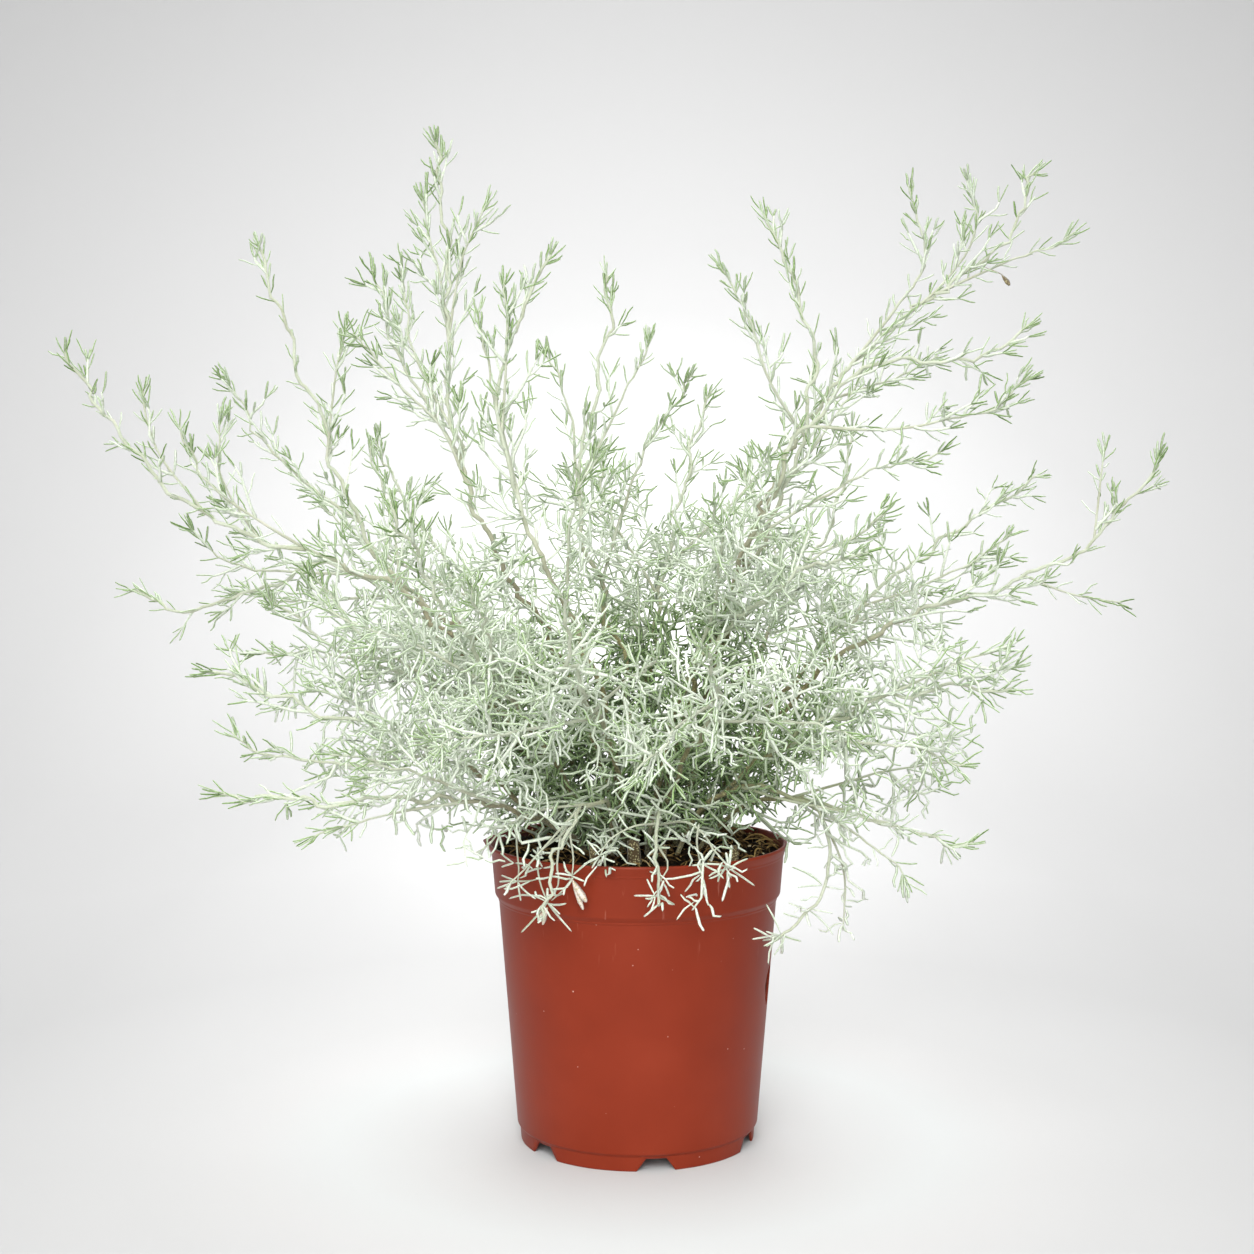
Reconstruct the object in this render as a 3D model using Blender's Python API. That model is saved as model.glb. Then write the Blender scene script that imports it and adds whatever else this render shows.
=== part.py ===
"""Potted silky eremophila: felted, needle-leaved stems in a moulded nursery pot.

Metres, +Z up. The origin is the middle of the pot's foot, on the surface that
the pot stands on, and -Y is the side that the viewer sees. Each leafy stem is
one solid: its wood, side sprays, twigs and needle leaves have grown together.
"""

import math
from collections import namedtuple

import bmesh
import bpy
import numpy as np

MM = 0.001
SEED = 31
GOLDEN_ANGLE = math.radians(137.5)

# Pot, by outer radius and height
POT_HEIGHT = 194 * MM
RIM_RADIUS = 97 * MM
COLLAR_TOP_RADIUS = 94.4 * MM
COLLAR_FOOT_RADIUS = 92.4 * MM
COLLAR_HEIGHT = 35.5 * MM
COLLAR_STEP_HEIGHT = 3 * MM
LIP_HEIGHT = 6.5 * MM
LIP_EDGE = 1.2 * MM
LIP_THICKNESS = 2.6 * MM
BODY_TOP_RADIUS = 89.9 * MM
BODY_FOOT_RADIUS = 78.4 * MM
BODY_STEP_HEIGHT = 1.2 * MM
SKIRT_RADIUS = 76.6 * MM
SKIRT_HEIGHT = 10 * MM
SKIRT_TAPER = 0.6 * MM
WALL = 1.6 * MM
SKIRT_WALL = 2.4 * MM
FLOOR = 2.2 * MM
POT_SEGMENTS = 40

# Feet: the skirt is cut into six by gaps that are wider at the bottom
FEET = 6
FOOT_GAP_FIRST_ANGLE = math.radians(-81.4)
FOOT_GAP_WIDTH_BELOW = 25 * MM
FOOT_GAP_WIDTH_ABOVE = 13 * MM
FOOT_GAP_HEIGHT = 8 * MM
CUT_REACH = 8 * MM

# Drain holes through the floor, and the tear in the right-hand wall
DRAIN_HOLES = 6
DRAIN_RADIUS = 5 * MM
DRAIN_CIRCLE = 56 * MM
DRAIN_SIDES = 8
TEAR_ANGLE = math.radians(-11.5)
TEAR_MIDDLE_HEIGHT = 103 * MM
TEAR_LENGTH = 27 * MM
TEAR_WIDTH = 17 * MM

# Compost, and the holes that the stems stand in
FIT_GAP = 0.3 * MM
SOIL_WALL_GAP = 0.6 * MM
SOIL_EDGE_HEIGHT = 187.5 * MM
SOIL_CROWN_HEIGHT = 190.5 * MM
SOIL_DOME_INSET = 34 * MM
SOIL_SEGMENTS = 20
HOLE_DEPTH = 28 * MM
HOLE_RADIUS = 3.5 * MM
HOLE_SIDES = 6
Ring = namedtuple("Ring", "radius places first_angle")
OUTER = Ring(46 * MM, 13, 0)
MIDDLE = Ring(28 * MM, 9, 10)
INNER = Ring(11 * MM, 5, 20)

# Wood and leaves, by the radius of each section's corners
STEM_FOOT_RADIUS = 2.8 * MM
STEM_TIP_RADIUS = 1.6 * MM
STEM_SIDES = 4
STEM_STEP = 52 * MM
STRAIGHT_FOOT = 5 * MM
SPRAY_RADIUS = 1.9 * MM
SPRAY_TIP_RADIUS = 1.5 * MM
SPRAY_STEP = 42 * MM
TWIG_RADIUS = 0.95 * MM
TWIG_LENGTHS = (30 * MM, 58 * MM)
TWIG_SPACING = 96 * MM
TWIG_ANGLE = math.radians(42)
LEAFY_FROM = 0.36
NEEDLE_LENGTHS = (13 * MM, 18 * MM)
NEEDLE_ROOT_RADIUS = 0.42 * MM
NEEDLE_TIP_RADIUS = 0.85 * MM
NEEDLE_ANGLE = math.radians(52)
TIP_NEEDLE_ANGLE = math.radians(24)
TWIG_NEEDLE_PLACES = (0.42, 0.72)
TIP_NEEDLES = 2
TWIG_SIDES = 3
UPWARD_PULL = 0.22

# Room kept between two stems, and round the pot and the compost
BEND_STEP = 8 * MM
BEND_ROOM = 9 * MM
BEND_ROUNDS = 40
BEND_PINNED = 14 * MM
CLEARANCE = 0.8 * MM
TRIES = 14
SHORTER_EACH_TRY = 0.97

# Every leafy stem: its place in a ring of holes, the points in millimetres that
# its main shoot passes on the way to its tip, and its side sprays. A spray is
# the share of the main shoot's length at which it leaves, then its own points.
Stem = namedtuple("Stem", "ring place route sprays")
STEMS = (
    # the long low sprays at the right
    Stem(OUTER, 0, [(100, 15, 285), (150, 30, 322), (205, 40, 348), (256, 45, 359), (321, 50, 404),
                    (350, 59, 445)],
         [(0.72, (290, 40, 352), (321, 35, 347)), (0.84, (312, 62, 425), (318, 78, 452))]),
    Stem(OUTER, 1, [(90, 45, 275), (150, 75, 340), (227, 95, 398), (278, 100, 431)],
         [(0.6, (200, 60, 360), (252, 50, 392)), (0.45, (170, 130, 335), (225, 165, 352))]),
    # the back of the plant
    Stem(OUTER, 2, [(60, 75, 270), (110, 150, 345), (150, 205, 410), (163, 235, 468)],
         [(0.5, (150, 160, 330), (200, 215, 345)), (0.6, (95, 200, 400), (80, 245, 440))]),
    Stem(OUTER, 3, [(10, 80, 265), (-5, 160, 345), (-20, 220, 400), (-29, 252, 453)],
         [(0.5, (35, 180, 345), (60, 240, 375)), (0.55, (-50, 195, 330), (-85, 245, 350))]),
    Stem(OUTER, 4, [(-60, 75, 265), (-120, 150, 345), (-170, 200, 410), (-197, 230, 462)],
         [(0.5, (-110, 190, 330), (-130, 240, 360)), (0.6, (-190, 160, 380), (-240, 185, 420))]),
    # the left side, from the drooping spray up to the long one
    Stem(OUTER, 5, [(-110, 45, 300), (-189, 58, 366), (-230, 65, 365), (-277, 72, 346),
                    (-325, 78, 339), (-348, 80, 351)],
         [(0.55, (-240, 100, 345), (-285, 130, 350)), (0.62, (-270, 50, 372), (-300, 40, 398))]),
    Stem(OUTER, 6, [(-100, -15, 300), (-153, -25, 360), (-255, -40, 398), (-308, -50, 440),
                    (-352, -54, 505)],
         [(0.74, (-300, -35, 445), (-311, -30, 484)), (0.6, (-270, -55, 430), (-279, -60, 462)),
          (0.66, (-262, -20, 425), (-266, -15, 468))]),
    Stem(OUTER, 7, [(-110, -60, 255), (-170, -90, 282), (-209, -105, 295), (-252, -110, 315)],
         [(0.48, (-177, -110, 258), (-225, -120, 267), (-241, -118, 276)),
          (0.4, (-150, -50, 275), (-205, -55, 300))]),
    Stem(OUTER, 8, [(-75, -90, 228), (-125, -130, 240), (-164, -145, 243), (-213, -150, 239),
                    (-238, -152, 247)],
         [(0.5, (-160, -150, 232), (-189, -150, 222)), (0.42, (-130, -165, 262), (-165, -205, 275))]),
    # what hangs over the front of the rim
    Stem(OUTER, 9, [(-22, -80, 236), (-42, -106, 222), (-52, -116, 195), (-56, -119, 164)],
         [(0.6, (-66, -108, 205), (-78, -110, 184)), (0.5, (-70, -95, 225), (-98, -104, 205))]),
    Stem(OUTER, 10, [(12, -84, 228), (11, -108, 215), (10, -118, 178)],
         [(0.42, (36, -104, 220), (56, -112, 192))]),
    Stem(OUTER, 11, [(62, -48, 238), (108, -60, 226), (122, -64, 190), (103, -68, 162),
                     (86, -74, 146)],
         [(0.62, (130, -56, 180), (128, -52, 147)), (0.4, (125, -75, 225), (160, -95, 215))]),
    Stem(OUTER, 12, [(88, -38, 230), (144, -60, 216), (183, -68, 207), (206, -72, 203)],
         [(0.5, (150, -78, 200), (166, -84, 184)), (0.45, (150, -20, 240), (200, -5, 246))]),
    # the middle ring: the high sprays at the right
    Stem(MIDDLE, 0, [(58, -6, 330), (77, -12, 403), (110, -18, 462), (140, -20, 500),
                     (196, -20, 500), (247, -20, 521)],
         [(0.66, (157, -28, 459), (190, -30, 462), (247, -34, 487)),
          (0.5, (140, -45, 430), (185, -70, 445))]),
    Stem(MIDDLE, 1, [(48, 28, 300), (75, 38, 388), (95, 46, 437), (120, 55, 476), (154, 65, 516),
                     (193, 75, 547), (244, 80, 585), (262, 85, 605), (271, 88, 641)],
         [(0.66, (194, 78, 574), (188, 80, 600), (184, 82, 624)),
          (0.76, (226, 90, 581), (230, 96, 606), (229, 98, 627)),
          (0.8, (262, 70, 580), (292, 60, 590)), (0.6, (180, 110, 500), (212, 125, 515))]),
    Stem(MIDDLE, 2, [(8, 55, 290), (20, 110, 370), (35, 150, 430), (52, 180, 492)],
         [(0.55, (-20, 130, 400), (-50, 150, 430)), (0.6, (75, 140, 420), (105, 150, 455))]),
    Stem(MIDDLE, 3, [(-80, 25, 300), (-161, 42, 361), (-190, 52, 408), (-215, 58, 476),
                     (-236, 60, 531), (-253, 62, 586)],
         [(0.6, (-224, 66, 427), (-253, 70, 454), (-279, 75, 499)),
          (0.5, (-170, 80, 410), (-185, 100, 450)), (0.7, (-200, 45, 500), (-192, 40, 530))]),
    Stem(MIDDLE, 4, [(-72, 16, 262), (-150, 14, 302), (-205, 4, 325), (-240, 0, 352)],
         [(0.55, (-175, -30, 330), (-200, -45, 368)), (0.6, (-205, 25, 315), (-258, 35, 310))]),
    # the front of the plant
    Stem(MIDDLE, 5, [(-60, -60, 265), (-95, -115, 325), (-120, -160, 370), (-135, -190, 412)],
         [(0.5, (-130, -120, 330), (-180, -140, 350)), (0.55, (-85, -170, 340), (-90, -215, 365))]),
    Stem(MIDDLE, 6, [(-15, -70, 260), (-30, -140, 300), (-38, -205, 330), (-41, -248, 366)],
         [(0.5, (-75, -180, 285), (-105, -225, 285)), (0.55, (0, -190, 320), (10, -235, 330))]),
    Stem(MIDDLE, 7, [(28, -68, 255), (45, -130, 295), (40, -195, 318), (33, -250, 340)],
         [(0.5, (85, -165, 290), (120, -205, 285)), (0.6, (20, -200, 290), (0, -240, 268))]),
    Stem(MIDDLE, 8, [(75, -50, 252), (139, -78, 292), (181, -92, 302), (224, -100, 302)],
         [(0.6, (190, -105, 318), (219, -102, 330)), (0.5, (150, -110, 270), (188, -140, 262))]),
    # the inner ring: the upright stems in the middle
    Stem(INNER, 0, [(42, 8, 310), (87, 10, 402), (106, 10, 454), (114, 10, 493), (112, 10, 522),
                    (100, 10, 555), (83, 10, 596)],
         [(0.68, (85, -8, 489), (70, -14, 528), (54, -20, 560)), (0.6, (130, 20, 470), (150, 35, 500))]),
    Stem(INNER, 1, [(-8, 18, 300), (-38, 30, 401), (-35, 34, 454), (-24, 38, 499), (-20, 40, 522),
                    (-17, 42, 563)],
         [(0.66, (-5, 32, 491), (8, 30, 519)), (0.6, (-46, 46, 481), (-62, 52, 513)),
          (0.5, (12, 22, 462), (36, 18, 493))]),
    Stem(INNER, 2, [(-42, -2, 300), (-89, -6, 376), (-113, -8, 440), (-121, -10, 491),
                    (-120, -10, 548), (-123, -10, 603), (-128, -10, 640)],
         [(0.76, (-107, -16, 583), (-96, -20, 599)), (0.74, (-130, -4, 585), (-138, 0, 609)),
          (0.62, (-145, 2, 514), (-150, 8, 562)), (0.57, (-133, -18, 474), (-163, -22, 497), (-179, -24, 521)),
          (0.6, (-160, 12, 520), (-170, 15, 563))]),
    Stem(INNER, 3, [(-26, -24, 300), (-65, -48, 390), (-82, -56, 446), (-86, -58, 497),
                    (-72, -60, 526), (-52, -62, 564)],
         [(0.72, (-80, -64, 520), (-80, -66, 547)), (0.62, (-94, -50, 500), (-96, -46, 530)),
          (0.45, (-40, -70, 410), (-25, -85, 440))]),
    Stem(INNER, 4, [(30, -24, 300), (66, -70, 345), (100, -110, 375), (128, -148, 384)],
         [(0.5, (50, -75, 370), (45, -110, 415)), (0.55, (110, -65, 380), (150, -75, 405))]),
)

Shoot = namedtuple("Shoot", "points radii sides")


def principled(name, color, roughness):
    """A plain, non-metallic material."""
    material = bpy.data.materials.new(name)
    material.use_nodes = True
    shader = material.node_tree.nodes["Principled BSDF"]
    shader.inputs["Base Color"].default_value = (*color, 1)
    shader.inputs["Roughness"].default_value = roughness
    shader.inputs["Metallic"].default_value = 0
    return material


def add_object(name, mesh, material):
    """Put a mesh in the scene under the given name."""
    obj = bpy.data.objects.new(name, mesh)
    mesh.materials.append(material)
    bpy.context.scene.collection.objects.link(obj)
    return obj


def turned(name, outline, segments):
    """Spin an outline of (radius, height) points once round the Z axis."""
    bm = bmesh.new()
    verts = [bm.verts.new((radius, 0, height)) for radius, height in outline]
    edges = [bm.edges.new(pair) for pair in zip(verts, verts[1:])]
    bmesh.ops.spin(bm, geom=verts + edges, axis=(0, 0, 1), cent=(0, 0, 0),
                   angle=math.tau, steps=segments, use_merge=True)
    bmesh.ops.remove_doubles(bm, verts=bm.verts, dist=0.001 * MM)
    bmesh.ops.recalc_face_normals(bm, faces=bm.faces)
    mesh = bpy.data.meshes.new(name)
    bm.to_mesh(mesh)
    bm.free()
    mesh.shade_smooth()
    mesh.set_sharp_from_angle(angle=math.radians(35))
    return mesh


def add_prism(bm, below, above):
    """Join two polygons with the same number of corners into a closed prism."""
    lower = [bm.verts.new(tuple(corner)) for corner in below]
    upper = [bm.verts.new(tuple(corner)) for corner in above]
    bm.faces.new(lower[::-1])
    bm.faces.new(upper)
    for k in range(len(lower)):
        after = (k + 1) % len(lower)
        bm.faces.new((lower[k], lower[after], upper[after], upper[k]))


def add_cutter(name, prisms, target):
    """Cut closed prisms, each a pair of polygons, out of the target."""
    bm = bmesh.new()
    for below, above in prisms:
        add_prism(bm, below, above)
    bmesh.ops.recalc_face_normals(bm, faces=bm.faces)
    mesh = bpy.data.meshes.new(name)
    bm.to_mesh(mesh)
    bm.free()
    cutter = bpy.data.objects.new(name, mesh)
    bpy.context.scene.collection.objects.link(cutter)
    cutter.hide_render = True
    cutter.display_type = "WIRE"
    cut = target.modifiers.new(name, "BOOLEAN")
    cut.operation = "DIFFERENCE"
    cut.object = cutter


def polygon(center, radius, sides, height):
    """Corners of a level regular polygon."""
    angles = (np.arange(sides) + 0.5) * math.tau / sides
    return [(center[0] + radius * math.cos(a), center[1] + radius * math.sin(a), height)
            for a in angles]


def slot_across(angle, near, far, outline):
    """Carry an outline of (sideways, height) points outwards at an angle round Z."""
    out = np.array([math.cos(angle), math.sin(angle), 0])
    side = np.array([-math.sin(angle), math.cos(angle), 0])
    up = np.array([0, 0, 1])
    return [[out * reach + side * s + up * z for s, z in outline] for reach in (near, far)]


def body_radius(height):
    """Outer radius of the tapered wall under the collar."""
    share = (height - SKIRT_HEIGHT) / (POT_HEIGHT - COLLAR_HEIGHT - SKIRT_HEIGHT)
    return BODY_FOOT_RADIUS + share * (BODY_TOP_RADIUS - BODY_FOOT_RADIUS)


def wall_inside(height):
    """Inner radius of the pot, one wall inside the taper or the collar."""
    collar_foot = POT_HEIGHT - COLLAR_HEIGHT
    if height < collar_foot:
        return body_radius(height) - WALL
    share = (height - collar_foot) / COLLAR_HEIGHT
    collar = COLLAR_FOOT_RADIUS + share * (COLLAR_TOP_RADIUS - COLLAR_FOOT_RADIUS)
    return collar - WALL


def make_pot():
    """Tapered wall, stepped collar, rolled lip, raised floor and a skirt of six feet."""
    collar_foot = POT_HEIGHT - COLLAR_HEIGHT
    lip_foot = POT_HEIGHT - LIP_HEIGHT
    floor_top = SKIRT_HEIGHT + FLOOR
    inside_skirt = SKIRT_RADIUS - SKIRT_WALL
    outline = [
        (0, SKIRT_HEIGHT),
        (inside_skirt, SKIRT_HEIGHT),
        (inside_skirt, 0),
        (SKIRT_RADIUS - SKIRT_TAPER, 0),
        (SKIRT_RADIUS, SKIRT_HEIGHT),
        (BODY_FOOT_RADIUS, SKIRT_HEIGHT + BODY_STEP_HEIGHT),
        (BODY_TOP_RADIUS, collar_foot),
        (COLLAR_FOOT_RADIUS, collar_foot + COLLAR_STEP_HEIGHT),
        (COLLAR_TOP_RADIUS, lip_foot),
        (RIM_RADIUS, POT_HEIGHT - LIP_EDGE),
        (RIM_RADIUS - LIP_EDGE / 2, POT_HEIGHT),
        (RIM_RADIUS - LIP_THICKNESS, POT_HEIGHT),
        (wall_inside(lip_foot), lip_foot),
        (wall_inside(collar_foot + COLLAR_STEP_HEIGHT), collar_foot + COLLAR_STEP_HEIGHT + WALL / 2),
        (wall_inside(collar_foot - WALL), collar_foot + WALL / 2),
        (wall_inside(floor_top), floor_top),
        (0, floor_top),
    ]
    material = principled("moulded terracotta plastic", (0.33, 0.056, 0.028), 0.45)
    pot = add_object("pot", turned("pot", outline, POT_SEGMENTS), material)

    below = FOOT_GAP_WIDTH_BELOW / 2
    above = FOOT_GAP_WIDTH_ABOVE / 2
    drop = CUT_REACH
    flare = below + (below - above) * drop / FOOT_GAP_HEIGHT
    gap = [(-flare, -drop), (flare, -drop), (above, FOOT_GAP_HEIGHT), (-above, FOOT_GAP_HEIGHT)]
    near = inside_skirt - CUT_REACH
    far = SKIRT_RADIUS + CUT_REACH
    angles = [FOOT_GAP_FIRST_ANGLE + k * math.tau / FEET for k in range(FEET)]
    add_cutter("foot_gap_cutter", [slot_across(a, near, far, gap) for a in angles], pot)

    drains = []
    for k in range(DRAIN_HOLES):
        angle = (k + 0.5) * math.tau / DRAIN_HOLES
        center = (DRAIN_CIRCLE * math.cos(angle), DRAIN_CIRCLE * math.sin(angle))
        drains.append([polygon(center, DRAIN_RADIUS, DRAIN_SIDES, height)
                       for height in (SKIRT_HEIGHT - CUT_REACH, floor_top + CUT_REACH)])
    add_cutter("drain_cutter", drains, pot)

    half = TEAR_LENGTH / 2
    wide = TEAR_WIDTH / 2
    tear = [(0, -half), (wide, -0.3 * half), (0.8 * wide, 0.5 * half), (0.2 * wide, half),
            (-0.5 * wide, 0.6 * half), (-wide, -0.1 * half)]
    tear = [(s, z + TEAR_MIDDLE_HEIGHT) for s, z in tear]
    wall = body_radius(TEAR_MIDDLE_HEIGHT)
    add_cutter("tear_cutter", [slot_across(TEAR_ANGLE, wall - CUT_REACH, wall + CUT_REACH, tear)], pot)


def hole_place(stem):
    """Middle of the hole that a stem stands in."""
    angle = math.radians(stem.ring.first_angle) + stem.place * math.tau / stem.ring.places
    return stem.ring.radius * np.array([math.cos(angle), math.sin(angle), 0])


def soil_height(radius):
    """Height of the compost, which rises gently from the wall to the middle."""
    edge = wall_inside(SOIL_EDGE_HEIGHT)
    return SOIL_EDGE_HEIGHT + (SOIL_CROWN_HEIGHT - SOIL_EDGE_HEIGHT) * (1 - (radius / edge) ** 2)


def make_soil():
    """Compost that fills the pot, with one plain hole for each stem."""
    collar_foot = POT_HEIGHT - COLLAR_HEIGHT
    floor = SKIRT_HEIGHT + FLOOR + FIT_GAP
    edge = wall_inside(SOIL_EDGE_HEIGHT) - SOIL_WALL_GAP
    half_way = edge - SOIL_DOME_INSET
    outline = [
        (0, floor),
        (wall_inside(floor) - SOIL_WALL_GAP, floor),
        (wall_inside(collar_foot - WALL) - SOIL_WALL_GAP, collar_foot),
        (edge, SOIL_EDGE_HEIGHT),
        (half_way, soil_height(half_way)),
        (0, SOIL_CROWN_HEIGHT),
    ]
    material = principled("dark bark compost", (0.030, 0.020, 0.012), 0.95)
    soil = add_object("soil", turned("soil", outline, SOIL_SEGMENTS), material)
    holes = []
    for stem in STEMS:
        center = hole_place(stem)
        bottom = soil_height(stem.ring.radius) - HOLE_DEPTH
        holes.append([polygon(center, HOLE_RADIUS, HOLE_SIDES, height)
                      for height in (bottom, SOIL_CROWN_HEIGHT + CUT_REACH)])
    add_cutter("stem_hole_cutter", holes, soil)


def lengths_along(points):
    """Distance of each point from the first, along the line."""
    steps = np.linalg.norm(np.diff(points, axis=0), axis=1)
    return np.concatenate([[0], np.cumsum(steps)])


def point_at(points, distance):
    """Point and direction of a line at a distance from its start."""
    along = lengths_along(points)
    k = min(np.searchsorted(along, distance, side="right"), len(points) - 1)
    step = points[k] - points[k - 1]
    share = (distance - along[k - 1]) / (along[k] - along[k - 1])
    return points[k - 1] + step * share, step / np.linalg.norm(step)


def smooth_path(points, step):
    """Points at even steps along a Catmull-Rom curve through the given points."""
    points = np.asarray(points, float)
    ends = np.vstack([2 * points[0] - points[1], points, 2 * points[-1] - points[-2]])
    t = np.linspace(0, 1, 12, endpoint=False)[:, None]
    spans = []
    for a, b, c, d in zip(ends, ends[1:], ends[2:], ends[3:]):
        bend = (2 * a - 5 * b + 4 * c - d) * t ** 2 + (3 * b - a - 3 * c + d) * t ** 3
        spans.append(b + 0.5 * ((c - a) * t + bend))
    fine = np.vstack(spans + [points[-1:]])
    along = lengths_along(fine)
    even = np.linspace(0, along[-1], max(2, round(along[-1] / step)) + 1)
    return np.column_stack([np.interp(even, along, fine[:, k]) for k in range(3)])


def bend_clear(paths, owners, fixed=None, fixed_owners=None):
    """Push the paths of different stems apart until they are BEND_ROOM apart.

    The first stretch of each path stays where it is, and so do the fixed points.
    """
    points = np.vstack(paths)
    owner = np.repeat(owners, [len(path) for path in paths])
    ease = np.concatenate([np.clip(lengths_along(p) / BEND_PINNED - 1, 0, 1) for p in paths])
    if fixed is None:
        others, other_owner, same_set = points, owner, True
    else:
        others = np.vstack([points, np.vstack(fixed)])
        lengths = [len(path) for path in fixed]
        other_owner = np.concatenate([owner, np.repeat(fixed_owners, lengths)])
        same_set = False
    count = len(points)
    apart = owner[:, None] != other_owner[None, :]
    for _ in range(BEND_ROUNDS):
        away = points[:, None, :] - others[None, :, :]
        distance = np.linalg.norm(away, axis=2)
        lack = np.where(apart & (distance < BEND_ROOM), BEND_ROOM - distance, 0)
        push = (away * (lack / np.maximum(distance, 0.01 * MM))[:, :, None]).sum(axis=1)
        points = points + 0.4 * push * ease[:, None]
        if same_set:
            others = points
        else:
            others[:count] = points
    cuts = np.cumsum([len(path) for path in paths])[:-1]
    return np.split(points, cuts)


def coarse(path, step):
    """Keep about one point for each step of a path, and its two ends."""
    count = max(2, round(lengths_along(path)[-1] / step) + 1)
    return path[np.round(np.linspace(0, len(path) - 1, count)).astype(int)]


def routed_shoots():
    """The main shoot and the side sprays of every stem, bent clear of each other."""
    feet, mains = [], []
    for stem in STEMS:
        surface = hole_place(stem) + (0, 0, soil_height(stem.ring.radius))
        feet.append(surface - (0, 0, HOLE_DEPTH - FIT_GAP))
        route = [surface + (0, 0, STRAIGHT_FOOT)] + [np.array(point) * MM for point in stem.route]
        mains.append(smooth_path(route, BEND_STEP))
    owners = np.arange(len(STEMS))
    mains = bend_clear(mains, owners)
    mains = [np.vstack([foot, coarse(path, STEM_STEP)]) for foot, path in zip(feet, mains)]

    sprays, spray_owners = [], []
    for owner, stem in enumerate(STEMS):
        for share, *route in stem.sprays:
            start, _ = point_at(mains[owner], share * lengths_along(mains[owner])[-1])
            points = [start] + [np.array(point) * MM for point in route]
            sprays.append(smooth_path(points, BEND_STEP))
            spray_owners.append(owner)
    dense_mains = [smooth_line(path, BEND_STEP) for path in mains]
    sprays = bend_clear(sprays, spray_owners, dense_mains, owners)
    sprays = [coarse(path, SPRAY_STEP) for path in sprays]

    shoots = []
    for owner, main in enumerate(mains):
        radii = np.linspace(STEM_FOOT_RADIUS, STEM_TIP_RADIUS, len(main))
        shoots.append([Shoot(main, radii, STEM_SIDES)])
    for owner, spray in zip(spray_owners, sprays):
        radii = np.linspace(SPRAY_RADIUS, SPRAY_TIP_RADIUS, len(spray))
        shoots[owner].append(Shoot(spray, radii, TWIG_SIDES))
    return shoots


def smooth_line(points, step):
    """Points at even steps along straight pieces."""
    along = lengths_along(points)
    even = np.linspace(0, along[-1], max(2, round(along[-1] / step)) + 1)
    return np.column_stack([np.interp(even, along, points[:, k]) for k in range(3)])


class Space:
    """Remembers what has grown, and tells whether a new shoot is clear of it."""

    def __init__(self):
        self.starts = np.empty((0, 3))
        self.ends = np.empty((0, 3))
        self.radii = np.empty(0)
        self.owners = np.empty(0, int)

    def take(self, shoot, owner):
        """Add a shoot's straight pieces."""
        count = len(shoot.points) - 1
        self.starts = np.vstack([self.starts, shoot.points[:-1]])
        self.ends = np.vstack([self.ends, shoot.points[1:]])
        thick = np.maximum(shoot.radii[:-1], shoot.radii[1:])
        self.radii = np.concatenate([self.radii, thick])
        self.owners = np.concatenate([self.owners, np.full(count, owner)])

    def is_clear(self, shoot, owner):
        """True where no other stem, nor the pot or the compost, is in the way."""
        radius = shoot.radii.max()
        samples = smooth_line(shoot.points, 1.5 * MM)
        other = self.owners != owner
        starts, ends = self.starts[other], self.ends[other]
        run = ends - starts
        to_sample = samples[:, None, :] - starts[None, :, :]
        share = np.clip((to_sample * run).sum(axis=2) / (run ** 2).sum(axis=1), 0, 1)
        distance = np.linalg.norm(to_sample - share[:, :, None] * run, axis=2)
        if (distance < self.radii[other] + radius + CLEARANCE).any():
            return False
        return clear_of_pot(samples, radius + CLEARANCE)


def clear_of_pot(samples, room):
    """True where every sample keeps its room from the pot's wall and the compost."""
    from_axis = np.hypot(samples[:, 0], samples[:, 1])
    height = samples[:, 2]
    inside = wall_inside(SOIL_EDGE_HEIGHT) - room
    in_wall = (height < POT_HEIGHT + room) & (from_axis > inside) & (from_axis < RIM_RADIUS + room)
    in_soil = (height < SOIL_CROWN_HEIGHT + room) & (from_axis <= inside)
    return not (in_wall | in_soil).any()


def turned_away(direction, angle, around):
    """A unit vector at an angle to the direction, turned around it."""
    helper = np.array([0, 0, 1]) if abs(direction[2]) < 0.9 else np.array([1, 0, 0])
    first = np.cross(direction, helper)
    first /= np.linalg.norm(first)
    second = np.cross(direction, first)
    sideways = math.cos(around) * first + math.sin(around) * second
    return math.cos(angle) * direction + math.sin(angle) * sideways


def twig(start, direction, length):
    """A straight three-sided twig."""
    direction = direction + np.array([0, 0, UPWARD_PULL])
    direction /= np.linalg.norm(direction)
    points = np.array([start, start + direction * length])
    return Shoot(points, np.array([TWIG_RADIUS, TWIG_RADIUS]), TWIG_SIDES)


def needle(start, direction, length):
    """A three-sided needle leaf, slim at its root and blunt at its tip."""
    points = np.array([start, start + direction * length])
    return Shoot(points, np.array([NEEDLE_ROOT_RADIUS, NEEDLE_TIP_RADIUS]), TWIG_SIDES)


def grow(space, owner, shape, start, axis, angle, around, length):
    """Try turns around the axis until the new shoot is clear, or give it up."""
    for k in range(TRIES):
        turn = around + k * GOLDEN_ANGLE
        shoot = shape(start, turned_away(axis, angle, turn), length)
        if space.is_clear(shoot, owner):
            space.take(shoot, owner)
            return shoot
        length *= SHORTER_EACH_TRY
    return None


def needles_on(space, owner, rng, points, distances, tip):
    """Needle leaves along a line, and a tuft of them that closes on its tip."""
    total = lengths_along(points)[-1]
    places = [(d, NEEDLE_ANGLE) for d in distances]
    places += [(total - 1.5 * MM, TIP_NEEDLE_ANGLE)] * tip
    grown = []
    around = rng.uniform(0, math.tau)
    for distance, angle in places:
        start, axis = point_at(points, distance)
        length = rng.uniform(*NEEDLE_LENGTHS)
        around += GOLDEN_ANGLE
        angle += rng.uniform(-0.15, 0.15)
        grown.append(grow(space, owner, needle, start, axis, angle, around, length))
    return [leaf for leaf in grown if leaf]


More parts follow.
